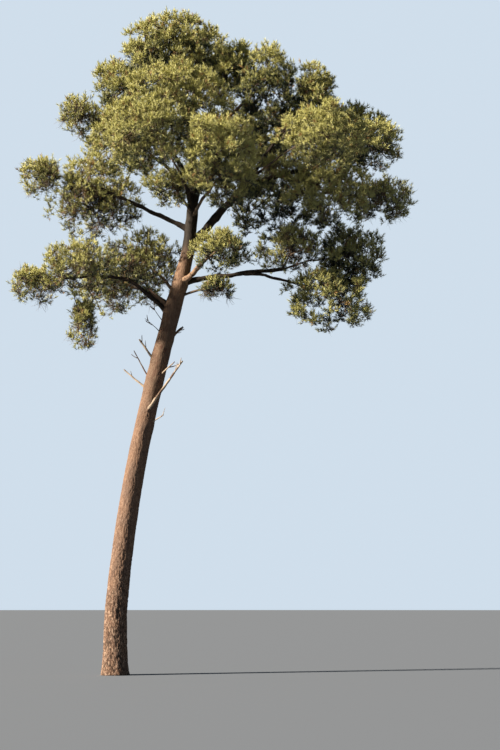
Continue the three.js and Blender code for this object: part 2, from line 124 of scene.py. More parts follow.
# Masses: name, what carries it, where on it or None for its usual place near a bough's tip, heart, reach, and
# the numbers of sprays and twigs where they aren't the usual ones.
DENSE_MASSES = [
    ("top", "trunk", None, (1350, 0, 16110), (1310, 1260, 1060)),
    ("top_left", "trunk", 14250, (680, -300, 15730), (790, 1140, 940)),
    ("top_right", "trunk", 14150, (2860, 300, 15530), (1010, 1140, 920)),
    ("top_back", "trunk", 13900, (1940, 1600, 16070), (1450, 1320, 1290)),
    ("top_front", "trunk", 13600, (1490, -1800, 14000), (1480, 1320, 1160), 9, 2),
    ("centre_high", "trunk", 13150, (3690, 0, 14990), (1040, 1500, 1230)),
    ("left_high", "left_high", None, (10, 0, 14990), (890, 1320, 920)),
    ("left_mid", "left_high", None, (350, -800, 13500), (1030, 1320, 990)),
    ("front_left", "front_left", None, (890, -2500, 13000), (1210, 1320, 1020), 9, 2),
    ("back_left", "back_left", None, (-40, 2300, 14270), (1370, 1440, 1150), 9, 2),
    ("front", "trunk", 12350, (2510, -2900, 12450), (1110, 1440, 950), 9, 2),
    ("back", "back", None, (2910, 3200, 14320), (1880, 1560, 1540), 9, 2),
    ("right_high", "right_high", None, (4950, 100, 14810), (640, 1440, 760)),
    ("right_high_tip", "right_high", None, (5920, 500, 13890), (1140, 1320, 820)),
    ("right_front", "front_right", None, (5070, -2500, 12850), (1160, 1440, 920), 9, 2),
    ("right_back", "back_right", None, (4820, 2500, 14190), (1800, 1560, 1530)),
    ("right_far", "right_far", None, (6290, -300, 13330), (980, 1320, 760)),
    ("right_mid", "right_far", None, (5390, -900, 11800), (1210, 1260, 1040)),
    ("centre_low", "leader_right", None, (3980, 700, 12300), (1400, 1440, 1420)),
    ("right_low", "right", None, (5810, 200, 10470), (1060, 1200, 1140)),
    ("right_hanging", "right_under", None, (5330, 0, 9480), (1270, 1140, 1090)),
]
THIN_MASSES = [
    ("left_high_tip", "left_high", 0.9, (-1060, 300, 14300), (780, 1140, 530)),
    ("lobe_left", "trunk", 11600, (1350, -800, 12070), (750, 900, 520), 7, 2),
    ("front_low", "trunk", 11500, (2560, -1700, 11990), (1020, 1140, 680)),
    ("right_far_low", "right_far", 0.9, (6720, 300, 12060), (1000, 1200, 690)),
    ("upper_left_tip", "upper_left", None, (-1980, 0, 12610), (760, 960, 610)),
    ("upper_left", "upper_left", None, (-960, 200, 12230), (1280, 1200, 1300)),
    ("upper_left_rear", "upper_left", None, (-490, 1300, 12260), (1050, 1140, 1140)),
    ("lower_left_tip", "lower_left_end", None, (-2160, 0, 9780), (760, 900, 610)),
    ("lower_left", "lower_left_end", None, (-1020, -500, 10050), (1220, 1320, 930)),
    ("lower_left_hanging", "lower_left_end", None, (-940, 100, 8860), (430, 780, 950)),
    ("lower_left_inner", "trunk", 9500, (530, 700, 10450), (1300, 1200, 1160)),
    ("lower_left_rear", "lower_left_rear", None, (-250, 1700, 10150), (1420, 1320, 1020)),
    ("fork_front", "right_stub", None, (2530, -700, 10460), (820, 840, 640)),
    ("right_small", "trunk", 9420, (2450, -100, 9630), (630, 600, 400), 5, 2),
    ("right_bough", "right", None, (4380, -300, 10610), (1030, 1020, 820)),
]

# The source's rule for masses, in metres and shares of a mass's reach
LIMB_MARGIN = 0.105
LIMB_SAMPLE = 0.09
SPACE_MARGIN = 0.07
DENSE = {"sprays": 11, "twigs": 2, "twig_reach": 0.7, "spray_root": 0.3}
THIN = {"sprays": 9, "twigs": 3, "twig_reach": 0.5}
STEM = {"leaves": 0.97, "share": 0.62, "base": 0.024, "slender": 80, "taper": 0.6, "past": 0.3, "arch": 0.05}
TWIG = {"radius": 0.02, "tip": 0.012, "arch": 0.04, "margin": 0.06}
TWIG_ROOTS = {"from": 0.5, "middle": 0.75, "spread": 0.3}
TWIG_PROBES = (0.4, 1, 7)
SPRAY = {"widest": 0.85, "aspect": 1.2, "shortest": 0.5, "step": 0.06, "middle": 0.42}
SPRAY_WIDTHS = (1, 0.75, 0.5)
SPRAY_PROBES = (0.35, 0.7, 1.02)
# A spray's corners: along, across and through it, in shares of its length, half its width and its length
SPRAY_OUTLINE = [
    (0, 0, 0),
    (0.48, 1, 0.16),
    (0.6, 0.3, 0),
    (1, 0.22, -0.12),
    (0.6, -0.34, 0),
    (0.66, -1, 0.1),
]

# How the growth goes on past the source's twigs and sprays. Two numbers in brackets are the least and the
# most, or the first and the last.

# How far the creases between masses are filled: less for a larger number
BLEND = 4.0
# Branchlets: their reach as a share of a spray's, where on a stem or a twig they start, and their radii
BRANCHLET = {"reach": 0.8, "on_stem": (0.45, 1), "towards": 0.15, "on_twig": 0.92, "arch": 0.06}
BRANCHLET_RADII = (0.013, 0.007)
# How many pads a mass with a mean reach of a metre has, the share of more that stand further in, and what a
# pad carries: twiglets, their length, their side shoots, and bare twigs
DENSE_PADS = {"count": 34, "inner": 0.4, "twiglets": 7, "reach": (0.12, 0.26), "shoots": (3, 5), "bare": 2}
THIN_PADS = {"count": 48, "inner": 0.6, "twiglets": 4, "reach": (0.09, 0.20), "shoots": (1, 4), "bare": 9}
# Thin masses whose pads are those of a dense one
FULL = {"lobe_left", "front_low", "fork_front"}
# Where pads stand: shares of the reach, steps inwards until one fits, and the hollows between them
PADS = {"outer": (0.9, 1.2), "inner": (0.45, 0.85), "least": 0.4, "step": 0.05, "behind": 0.8}
HOLLOWS = {"depth": 0.24, "waves": 1.5, "edge": 1.6}
# How far a pad's centre lies inside its place, and how many pads under a mass are left out
PAD_CENTRE = {"inside": 0.25, "tilt": 0.5, "under": -0.6, "left_out": 0.2}
# How open the air round a pad is: how far off that is asked, and what counts as clear of a mass
OPEN = {"near": 0.7, "far": 0.8, "down": 0.3, "clear": 0.97}
# Where on a mass's limbs the twigs to its pads may start, and how much further in than the pad
JOINTS, JOINT_MARGIN = (0.3, 1, 15), 0.1
# The twig that leads to a pad
PAD_TWIG = {"radius": 0.006, "radius_a_metre": 0.004, "end": 0.005, "sag": 0.1, "crook": 0.05}
# The fan of twiglets on a pad: degrees off its axis, and how far back on its twig they start
TWIGLETS = {"least": 3, "shaded": 0.6, "spread": (10, 82), "crowding": 0.6, "back": (0.0, 0.5), "rise": 0.02}
TWIGLET_RADII = (0.005, 0.003)
# Shoots at a twiglet's end and on its sides
SHOOTS = {"end": (0.07, 0.12), "side": (0.05, 0.09), "along": (0.25, 0.95), "turn": 1.7, "uneven": 0.4}
# How far a pad, its end shoots and its side shoots point outward, aside and up
PAD_WAY = {"out": 0.75, "up": 0.5}
END_WAY = {"out": 0.75, "up": 0.65, "uneven": 0.15}
SIDE_WAY = {"out": 0.45, "aside": 0.75, "up": 0.7}
# Bare twigs along a pad's twig
BARE = {"from": (0.2, 1.0), "length": (0.15, 0.38), "outward": 0.5, "down": 0.35, "crook": 0.05}
BARE_RADII = (0.005, 0.002)

# Painted light and shade in the needles' colour, with some of the real yellower green of young outer needles:
# how light a shoot is, what a pad gains from open air, height and reach, and its shoots from standing upright
PAINTED_LIGHT = {"open_air": 0.34, "upward": 0.25, "outward": 0.42, "raised": 0.16, "level": 0.35, "uneven": 0.1}
END_SHOOT_LIGHT, SIDE_SHOOT_LIGHT = 0.06, -0.04
# Painted shade and light by mass: how much darker or lighter than the others a mass's needles are painted,
# for the shade and sun that fall on it
MASS_PAINTED_LIGHT = {
    "centre_low": -0.3, "centre_high": -0.2, "right_low": -0.16, "back": -0.15, "right_back": -0.15,
    "right_small": -0.15, "right_high_tip": -0.1, "fork_front": -0.1, "right_hanging": -0.08,
    "lobe_left": -0.06, "top": 0.06, "top_front": 0.1, "left_mid": 0.1, "right_front": 0.1,
    "right_mid": 0.1, "front_left": 0.12, "front": 0.2,
}
# The painted light below which needles have a colour, from painted shade deep in the crown to painted sunlit
# green outside, and the share of shoots that have died
NEEDLE_PAINTED_LIGHT = {"shade": 0.14, "deep": 0.32, "mid": 0.53, "light": 0.74}
STRAW_SHARE = 0.035
# Needles on a shoot: where the first pair stands, and degrees off the shoot. Pairs are forked and twisted.
NEEDLES = {"first": 0.08, "uneven": 0.03, "spread": (60, 16), "splay": 8, "rise": 0.12, "length": (0.8, 1.15)}
FORK, TWIST = 0.26, 0.6
# How much lighter needles grow along their shoot, and where on it they are as light as the shoot
NEEDLE_SHADE = {"gain": 0.5, "even": 0.55}
NEEDLE_REACH = 0.05
TRIANGLES_A_PIECE = 190_000

# Bark relief, in plates: the size and the waves of how plates' edges wander and fray, and a fissure's width
WANDER, FRAY = (0.3, 1.1), (0.08, 4.1)
FISSURE, LEVEL_WAVES = 0.3, 7.31
# The trunk's bark: how far it stands out, its slow lumps, and the height and width of the collar round a limb
BARK = {"lift": 0.004, "lumps": 0.008, "lump_waves": (4, 4, 2.2)}
COLLAR_AT = 0.2
DEAD_COLLAR, BOUGH_COLLAR = (0.022, 0.13), (0.03, 0.2)
# Between which distances up the trunk its plates grow smaller, its fissures shallower and its colours change;
# from the last, the trunk takes the boughs' near-black bark, which is painted shade
PLATES_SHRINK, FISSURES_FADE = (0.5, 5.0), (1.5, 8.5)
FOOT, UPPER, FORK_BARK, CROWN_PAINTED_SHADE = (0.6, 5.0), (5.6, 8.4), (9.2, 9.9), (10.3, 11.1)
# The boughs' bark, and the swelling at their roots
BOUGH_BARK = {"width": 0.034, "height": 0.09, "depth": 0.006, "swell": 0.35, "swell_fades": 0.12}
# The lengths of the waves in a limb's bend off its line, which are also their shares in it
WAVES = (1.1, 0.55, 0.27)
# Tubes: their sides, the height of a ring, and the fewest rings
TUBES = {
    "trunk": (96, 0.034, 440),
    "bough": (18, 0.03, 8),
    "broken": (14, 0.04, 6),
    "dead": (12, 0.035, 6),
    "spur": (7, 0.035, 6),
    "branchlet": (6, 0.16, 3),
}
# Ripples in a radius: their size, and their waves in radians a metre
BOUGH_RIPPLES, BRANCHLET_RIPPLES = ((0.06, 9), (0.05, 23)), ((0.08, 27),)
# How far boughs, dead limbs and branchlets bend off their lines
BENDS = {"bough": 0.016, "dead": 0.006, "branchlet": 0.012}
# Dead limbs: their ridges, the thick part inside the trunk, and the jags and the width of the break
DEAD = {"ridges": 0.08, "thicker": 0.4, "until": 0.22, "fades": 0.05, "jags": 0.9, "break": 0.72}
# Side twigs on dead limbs
SPUR = {"from": (0.62, 0.96), "aside": 0.7, "up": 0.15, "length": (0.12, 0.3), "radius": (0.007, 0.012)}
SPUR_ARCH = -0.01
# The torn limb: its ridges, its taper, and how far the splinters stand out
TORN = {"ridges": 0.12, "lumps": 0.08, "taper": 0.35, "splinters": 0.06}
# How near a limb's end the corners of its broken face lie
AT_END = 1e-4
BARK_SPECULAR = 0.12
# What the seeds of each kind start from
SEEDS = {"pads": 700, "bough": 40, "spurs": 90, "ridges": 300, "dead": 60, "branchlet": 500, "needles": 11}
SPUR_SEED = 20
# The bark's noise would start from the clock without this
noise.seed_set(3)

# Stage: lamps, what they aim at, and the viewer
SUN = {"from": (-35, -13.5, 29), "energy": 15.5, "degrees": 4}
FILL = {"from": (26, -34, 16), "energy": 70, "size": 18}
AIM = (2, 0, 11)
SOFT_STRENGTH, BACKDROP_STRENGTH = 0.15, 0.85
CAMERA = {"from": (3.30, -36.3, 1.71), "tilt": 98.93, "sensor": 36, "lens": 70, "sees": 1000}
FLOOR_RADIUS = 400


# Settings

def length(name, description, default):
    return FloatProperty(name=name, description=description, default=default, min=0, unit="LENGTH")


def share(name, description, default):
    return FloatProperty(name=name, description=description, default=default, min=0, max=1, subtype="FACTOR")


def colour(name, description, default):
    return FloatVectorProperty(
        name=name, description=description, default=default, min=0, max=1, subtype="COLOR"
    )


class PineBarkSettings(bpy.types.PropertyGroup):
    plate_width: length("Plate width", "Width of a bark plate at the foot", 0.055)
    plate_height: length("Plate height", "Height of a bark plate at the foot", 0.15)
    plates_above: share("Plates above", "Size of the upper plates as a share of those at the foot", 0.6)
    foot_depth: length("Fissure depth at the foot", "How deep the fissures between plates are", 0.02)
    crown_depth: length("Fissure depth in the crown", "How deep the bark's relief is in the crown", 0.007)
    plate: colour("Plates", "Weathered face of the lower plates", (0.2, 0.126, 0.088))
    plate_grey: colour("Grey plates", "Greyer, older plates", (0.14, 0.096, 0.076))
    fissure: colour("Fissures", "Bottom of the fissures", (0.032, 0.023, 0.018))
    pale: colour("Pale plates", "Freshly flaked faces of the lower plates", (0.315, 0.222, 0.165))
    gap: colour("Gaps", "Warm brown gaps between the flakes", (0.08, 0.045, 0.031))
    scar: colour("Scars", "Reddish scars and blotches", (0.095, 0.046, 0.032))
    upper: colour("Upper bark", "Flaking bark of the upper trunk", (0.147, 0.101, 0.07))
    fork: colour("Bark at the fork", "Thin, flaking bark round the fork", (0.225, 0.145, 0.095))
    # Painted shade: the boughs' bark, and the trunk's in the crown, are near black for the crown's shade over
    # them; the grey kind is mixed in by grain
    bough: colour("Bough bark", "Bark of the boughs", (0.016, 0.013, 0.011))
    bough_grey_painted_shade: colour("Grey bough bark", "Weathered bark of the boughs", (0.034, 0.027, 0.022))


class PineDeadWoodSettings(bpy.types.PropertyGroup):
    pale: colour("Bleached wood", "Bare wood bleached by the sun", (0.45, 0.36, 0.265))
    grey: colour("Weathered wood", "Grey, shaded wood", (0.20, 0.155, 0.12))
    bark: colour("Bark scraps", "Bark that still clings to the wood", (0.10, 0.06, 0.04))


class PineTwigSettings(bpy.types.PropertyGroup):
    shoot_radius: length("Shoot radius", "Radius of a side shoot at its root", 0.0045)
    old: colour("Older twigs", "Bark of the older twigs", (0.062, 0.047, 0.038))
    young: colour("Young twigs", "Bark of the young twigs", (0.16, 0.11, 0.070))


class PineNeedleSettings(bpy.types.PropertyGroup):
    pairs: IntProperty(name="Pairs", description="Needle pairs on a shoot", default=6, min=1)
    needle_length: length("Needle length", "Length of a needle", 0.092)
    needle_width: length("Needle width", "Width of a needle at its root", 0.017)
    # Painted light and shade: fresh and light needles go to open, high, outer shoots, and deep and shade ones
    # to shoots inside and under the crown; deep is partly the real colour of older needles
    fresh: colour("Fresh", "Sunlit needles of the year", (0.47, 0.455, 0.165))
    light: colour("Light", "Needles of the outer sprays", (0.405, 0.39, 0.14))
    mid: colour("Mid", "Needles between light and shade", (0.33, 0.33, 0.125))
    deep: colour("Deep", "Older needles", (0.145, 0.165, 0.08))
    shade: colour("Shade", "Needles deep in the crown", (0.024, 0.038, 0.028))
    straw: colour("Straw", "Dying needles", (0.30, 0.19, 0.07))


class PineStageSettings(bpy.types.PropertyGroup):
    floor: colour("Floor", "Plain floor", (0.125, 0.142, 0.172))
    backdrop: colour("Backdrop", "Plain pale backdrop", (0.74, 0.86, 0.98))
    soft: colour("Soft light", "Colour of the soft light from all round", (0.5, 0.74, 1.0))
    key: colour("Key light", "Colour of the main light", (1.0, 0.885, 0.72))
    fill: colour("Fill light", "Colour of the soft light from the other side", (0.85, 0.92, 1.0))


# Lines and limbs

class Limb:
    """A limb's line, its radius along it, and the level direction that its sections turn about."""

    def __init__(self, line, side, radius):
        self.line, self.side, self.radius = line, np.asarray(side, float), radius
        self._t = np.linspace(0, 1, 200)
        steps = np.linalg.norm(np.diff(line(self._t), axis=0), axis=1)
        self._run = np.concatenate([[0], np.cumsum(steps)])
        self.length = self._run[-1]

    def at(self, t):
        return self.line(np.atleast_1d(np.asarray(t, float)))[0]

    def radius_at(self, t):
        return np.ravel(self.radius(t))[0]

    def shares(self, run):
        """Where on the line a distance along it is, as the line's own parameter."""
        return np.interp(run, self._run, self._t)

    def tangents(self, t):
        near = 1e-4
        ahead = self.line(np.minimum(t + near, 1)) - self.line(np.maximum(t - near, 0))
        return ahead / np.linalg.norm(ahead, axis=1)[:, None]


def tapered(start, end):
    """A radius that goes evenly from start to end."""
    return lambda t, angle=0.0: start + (end - start) * t


def arched_line(root, tip, arch):
    """From root to tip, with the middle raised by arch."""
    middle = (root + tip) / 2 + 2 * arch * UP

    def line(t):
        t = t[:, None]
        return (1 - t) ** 2 * root + 2 * (1 - t) * t * middle + t**2 * tip

    return line


def smooth_line(points):
    """The curve through points that the source's trunk has."""
    before, after = 2 * points[0] - points[1], 2 * points[-1] - points[-2]
    hull = np.vstack([before, points, after])
    last = len(points) - 1

    def line(t):
        i = np.minimum((t * last).astype(int), last - 1)
        w = (t * last - i)[:, None]
        p0, p1, p2, p3 = (hull[i + k] for k in range(4))
        start, end = (p2 - p0) / 2, (p3 - p1) / 2
        square, cube = 3 * (p2 - p1) - 2 * start - end, 2 * (p1 - p2) + start + end
        return p1 + start * w + square * w**2 + cube * w**3

    return line


def trunk_limb():
    rows = np.array(TRUNK, float) * MM
    line = smooth_line(rows[:, [1, 2, 0]])
    knots = np.linspace(0, 1, len(rows))

    def radius(t, angle=0.0):
        height = np.maximum(line(np.atleast_1d(t))[:, 2], 0)
        lobes = 1 + FLARE["lobe_depth"] * np.cos(FLARE["lobes"] * angle + FLARE["turned"])
        flare = 1 + FLARE["share"] * lobes * np.exp(-height / FLARE["fades"])
        return np.interp(t, knots, rows[:, 3]) / 2 * flare

    return Limb(line, (0, 1, 0), radius)


def limb_between(root, tip, arch, radius):
    side = np.array([root[1] - tip[1], tip[0] - root[0], 0])
    size = np.linalg.norm(side)
    return Limb(arched_line(root, tip, arch), side / size if size > MM else (0, 1, 0), radius)


def trunk_point(height):
    """The point of the trunk's line at a height."""
    t = np.linspace(0, 1, 4000)
    points = LIMBS["trunk"].line(t)
    return LIMBS["trunk"].at(np.interp(height, points[:, 2], t))


def branch_limb(row):
    _, on, at, bearing, (out, up), arch, girth = row[:7]
    angle = math.radians(bearing)
    root = trunk_point(at * MM) if on == "trunk" else LIMBS[on].at(at)
    if len(row) > 7:
        root = root - np.array([0, row[7] * MM, 0])
    tip = root + MM * np.array([out * math.cos(angle), out * math.sin(angle), up])
    return limb_between(root, tip, arch * MM, tapered(girth[0] / 2 * MM, girth[1] / 2 * MM))


LIMBS = {"trunk": trunk_limb()}
for row in BOUGHS:
    LIMBS[row[0]] = branch_limb(row)
DEAD_LIMBS = {row[0]: branch_limb(row) for row in DEAD_BRANCHES + BROKEN}


# Masses by the source's rule

def seeded(seed):
    """The source's small generator, so that both trees grow from the same numbers."""
    state = seed

    def random():
        nonlocal state
        state = (state + 0x6D2B79F5) & 0xFFFFFFFF
        t = ((state ^ (state >> 15)) * (state | 1)) & 0xFFFFFFFF
        t = (t + (t ^ (t >> 7)) * (t | 61)) & 0xFFFFFFFF ^ t
        return ((t ^ (t >> 14)) & 0xFFFFFFFF) / 4294967296

    return random


class Mass:
    """A mass of needles: its own space, and the stem, twigs and sprays that the source gives it."""

    def __init__(self, index, row, rule):
        self.index, self.name, self.on, self.at = index, *row[:3]
        self.heart, self.reach = np.array(row[3]) * MM, np.array(row[4]) * MM
        self.dense = rule is DENSE
        self.pads = DENSE_PADS if self.dense or self.name in FULL else THIN_PADS
        self.sprays, self.twigs = row[5:] if len(row) > 5 else (rule["sprays"], rule["twigs"])
        self.twig_reach = rule["twig_reach"]

    def point(self, direction, out):
        return self.heart + self.reach * direction * out

    def stem(self):
        """From the carrier, near its tip or part of the way along it, to a little past the heart."""
        carrier, up_trunk = LIMBS[self.on], self.on == "trunk" and self.at is not None
        place = STEM["leaves"] if self.at is None else self.at
        root = trunk_point(place * MM) if up_trunk else carrier.at(place)
        onward = unit(self.heart - root)
        head = self.heart + onward * STEM["past"] / np.linalg.norm(onward / self.reach)
        run = np.linalg.norm(head - root)
        thick = STEM["base"] + run / STEM["slender"] if up_trunk else carrier.radius_at(1.0) * STEM["share"]
        return limb_between(root, head, STEM["arch"] * run, tapered(thick, thick * (1 - STEM["taper"])))


def unit(v):
    return v / np.maximum(np.linalg.norm(v, axis=-1, keepdims=True), 1e-12)


MASSES = [Mass(i, row, DENSE) for i, row in enumerate(DENSE_MASSES)]
MASSES += [Mass(i + len(DENSE_MASSES), row, THIN) for i, row in enumerate(THIN_MASSES)]
HEARTS = np.array([mass.heart for mass in MASSES])
REACHES = np.array([mass.reach for mass in MASSES])


def depths(points):
    """How deep each point lies in each mass's space: 0 at its heart and 1 at its edge."""
    return np.linalg.norm((points[:, None] - HEARTS) / REACHES, axis=2)


def blended(points):
    """How deep points lie in the crown as a whole: 1 at its edge, with the creases between masses filled."""
    return -np.log(np.exp(-BLEND * depths(points)).sum(axis=1)) / BLEND


def in_own_space(mass, points):
    depth = depths(points)
    own = depth[:, mass.index].copy()
    depth[:, mass.index] = np.inf
    return ((own <= 1) & (depth.min(axis=1) > own + SPACE_MARGIN)).all()


def nearest_of_all(mass, points):
    """Whether points lie in the crown and nearer to a mass than to the others."""
    return ((blended(points) <= 1) & (np.argmin(depths(points), axis=1) == mass.index)).all()


def balls_of(limb):
    count = math.ceil(limb.length / LIMB_SAMPLE)
    t = np.linspace(0, 1, count + 1)
    return limb.line(t), limb.radius(t)


def balls_near(mass, stems):
    limbs = [*LIMBS.values(), *(s for m, s in stems.items() if m is not mass)]
    centres, radii = (np.concatenate(part) for part in zip(*map(balls_of, limbs)))
    near = np.linalg.norm(centres - mass.heart, axis=1) < mass.reach.max() + 2 * LIMB_MARGIN + radii
    return centres[near], radii[near]


def clear_of(balls, points, distance):
    centres, radii = balls
    return (np.linalg.norm(points[:, None] - centres, axis=2) > radii + distance).all()


def even_directions(count, phase):
    k = np.arange(count)
    z = 1 - (2 * k + 1) / count
    flat, angle = np.sqrt(1 - z * z), k * GOLDEN_ANGLE + phase
    return np.column_stack([flat * np.cos(angle), flat * np.sin(angle), z])


def twig_limbs(mass, stem, balls, random):
    onward = unit(stem.at(1) - stem.at(0))
    twigs = []
    for direction in even_directions(mass.twigs, TURN * random()):
        along = TWIG_ROOTS["middle"] + TWIG_ROOTS["spread"] * direction @ onward
        along = np.clip(along, TWIG_ROOTS["from"], STEM["leaves"])
        root, tip = stem.at(along), mass.point(direction, mass.twig_reach)
        arch = TWIG["arch"] * np.linalg.norm(tip - root)
        twig = limb_between(root, tip, arch, tapered(TWIG["radius"], TWIG["tip"]))
        outer = twig.line(np.linspace(*TWIG_PROBES))
        if in_own_space(mass, outer) and clear_of(balls, outer, TWIG["margin"]):
            twigs.append(twig)
    return twigs


def spray_fits(mass, root, tip, roll, width, balls):
    """Whether the source's toothed blade from root to tip keeps to its space and off the limbs."""
    along, size = unit(tip - root), np.linalg.norm(tip - root)
    nearly_upright = abs(along[2]) > 0.95
    across = unit(np.cross(along, np.array([1.0, 0, 0]) if nearly_upright else UP))
    across = across * math.cos(roll) + np.cross(along, across) * math.sin(roll)
    axes = np.array([size * along, width / 2 * across, size * np.cross(across, along)])
    rows = np.array(SPRAY_OUTLINE, float)
    probes = []
    for way in SPRAY_PROBES:
        out = SPRAY["middle"] + way * (rows[:, 0] - SPRAY["middle"])
        probes.append(root + np.column_stack([out, way * rows[:, 1], way * rows[:, 2]]) @ axes)
    probes = np.vstack(probes)[1:]
    return in_own_space(mass, probes) and clear_of(balls, probes, LIMB_MARGIN)


def spray_reach(mass, direction, twig_tip, roll, balls):
    """How far the source's spray in a direction reaches, or None where there is none."""
    mean, reach = mass.reach.mean(), 1.0
    while reach > SPRAY["shortest"]:
        root = mass.point(direction, reach * DENSE["spray_root"]) if twig_tip is None else twig_tip
        tip = mass.point(direction, reach)
        widest = min(SPRAY["widest"] * mean, SPRAY["aspect"] * np.linalg.norm(tip - root))
        if any(spray_fits(mass, root, tip, roll, slim * widest, balls) for slim in SPRAY_WIDTHS):
            return reach
        reach -= SPRAY["step"]
    return None


# Growth past the source: branchlets, pads of twiglets, and shoots

class Growth:
    """What grows in the masses: twigs as rows of root, bend, tip and radii, and shoots with their needles."""

    def __init__(self):
        self.limbs, self.twigs, self.shoots = [], [], []

    def twig(self, root, bend, tip, radius, end_radius):
        self.twigs.append(np.concatenate([root, bend, tip, [radius, end_radius]]))

    def shoot(self, root, tip, light, own_stem):
        self.shoots.append(np.concatenate([root, tip, [light, own_stem]]))


def branchlets_of(mass, stem, twigs, balls, random):
    """Branchlets along the source's sprays, from the stem or a twig to a spray's teeth, and those sprays."""
    branchlets, reached = [], []
    for direction in even_directions(mass.sprays, TURN * random()):
        roll = math.pi * random()
        edge = mass.point(direction, 1)
        nearest = min(twigs, key=lambda twig: np.linalg.norm(twig.at(1) - edge)) if twigs else stem
        reach = spray_reach(mass, direction, None if mass.dense else nearest.at(1), roll, balls)
        if reach is None:
            continue
        tip = mass.point(direction, BRANCHLET["reach"] * reach)
        root = nearest.at(BRANCHLET["on_twig"])
        if mass.dense:
            points = stem.line(np.linspace(*BRANCHLET["on_stem"], 12))
            aim = mass.point(direction, BRANCHLET["towards"])
            root = points[np.argmin(np.linalg.norm(points - aim, axis=1))]
        arch = BRANCHLET["arch"] * np.linalg.norm(tip - root)
        branchlets.append(limb_between(root, tip, arch, tapered(*BRANCHLET_RADII)))
        reached.append((direction, reach))
    return branchlets, reached


def pad_places(mass, reached, balls, rng):
    """The ends of the source's sprays, then finer directions between them, each as far out as its space lets
    it, less where a slow unevenness leaves a hollow. Some more stand further in."""
    places = list(reached)
    count = round(mass.pads["count"] * mass.reach.mean() ** 2)
    wanted = []
    for number, far in ((count, PADS["outer"]), (round(mass.pads["inner"] * count), PADS["inner"])):
        ways = even_directions(number, rng.uniform(0, TURN))
        wanted += [(way, rng.uniform(*far)) for way in ways]
    for direction, reach in wanted:
        lump = noise.noise(Vector(HOLLOWS["waves"] * mass.point(direction, reach)))
        reach *= 1 - HOLLOWS["depth"] * float(np.clip(0.5 - HOLLOWS["edge"] * lump, 0, 1))
        while reach > PADS["least"]:
            probes = np.array([mass.point(direction, part * reach) for part in (1, PADS["behind"])])
            if nearest_of_all(mass, probes) and clear_of(balls, probes, LIMB_MARGIN):
                places.append((direction, reach))
                break
            reach -= PADS["step"]
    return places


def openness(mass, point, direction):
    """1 where a pad faces the open air, towards 0 where other masses stand round it."""
    near, far = OPEN["near"], OPEN["far"]
    below = unit(direction - OPEN["down"] * UP)
    depth = depths(point + np.array([near * direction, near * unit(direction + UP), far * UP, far * below]))
    depth[:, mass.index] = np.inf
    return float((depth.min(axis=1) > OPEN["clear"]).mean())


def joint_behind(mass, lines, centre, reach):
    """The nearest place on a mass's limbs to a pad's centre that isn't further out than the pad."""
    joints = np.vstack([limb.line(np.linspace(*JOINTS)) for limb in lines])
    away = np.linalg.norm(joints - centre, axis=1)
    past = depths(joints)[:, mass.index] > reach - JOINT_MARGIN
    return joints[np.argmin(np.where(past, away + 1, away))]


def grow_pad(mass, lines, direction, reach, rng, growth):
    """A twig from the nearest branchlet to a pad, whose twiglets fan out and end in upright shoots."""
    outward = unit(mass.reach * direction)
    inside = PAD_CENTRE["inside"] * (1 + PAD_CENTRE["tilt"] * outward[2])
    centre = mass.point(direction, reach) - outward * inside
    open_air = openness(mass, centre, direction)
    if direction[2] < PAD_CENTRE["under"] and rng.random() < PAD_CENTRE["left_out"]:
        return
    root = joint_behind(mass, lines, centre, reach)
    run = np.linalg.norm(centre - root)
    bend = (root + centre) / 2 - UP * PAD_TWIG["sag"] * run + rng.normal(0, PAD_TWIG["crook"], 3) * run
    growth.twig(root, bend, centre, PAD_TWIG["radius"] + PAD_TWIG["radius_a_metre"] * run, PAD_TWIG["end"])
    axis = unit(outward * PAD_WAY["out"] + UP * PAD_WAY["up"])
    side = unit(np.cross(axis, rng.normal(size=3)))
    other = np.cross(axis, side)
    # Painted light and shade: a pad's needles are lighter where it faces open air, points up and reaches far
    # out, and darker deep in the crown
    light = PAINTED_LIGHT["open_air"] * open_air + PAINTED_LIGHT["upward"] * direction[2] + PAINTED_LIGHT["outward"] * reach
    # Painted shade and light: each mass's own darker or lighter offset
    light = light + rng.normal(0, PAINTED_LIGHT["uneven"]) + MASS_PAINTED_LIGHT.get(mass.name, 0)
    phase = rng.uniform(0, TURN)
    fuller = TWIGLETS["shaded"] + (1 - TWIGLETS["shaded"]) * open_air
    count = max(TWIGLETS["least"], round(mass.pads["twiglets"] * fuller))
    inner, outer = TWIGLETS["spread"]
    for k in range(count):
        spread = math.radians(inner + (outer - inner) * ((k + 0.5) / count) ** TWIGLETS["crowding"])
        turn = phase + k * GOLDEN_ANGLE
        out = axis * math.cos(spread) + math.sin(spread) * (side * math.cos(turn) + other * math.sin(turn))
        start = centre - (centre - bend) * rng.uniform(*TWIGLETS["back"])
        grow_twiglet(mass.pads, start, out, light, rng, growth)
    for _ in range(mass.pads["bare"]):
        start = root + (bend - root) * rng.uniform(*BARE["from"])
        out = unit(rng.normal(size=3) + BARE["outward"] * outward - BARE["down"] * UP)
        tip = start + out * rng.uniform(*BARE["length"])
        growth.twig(start, (start + tip) / 2 + rng.normal(0, BARE["crook"], 3), tip, *BARE_RADII)


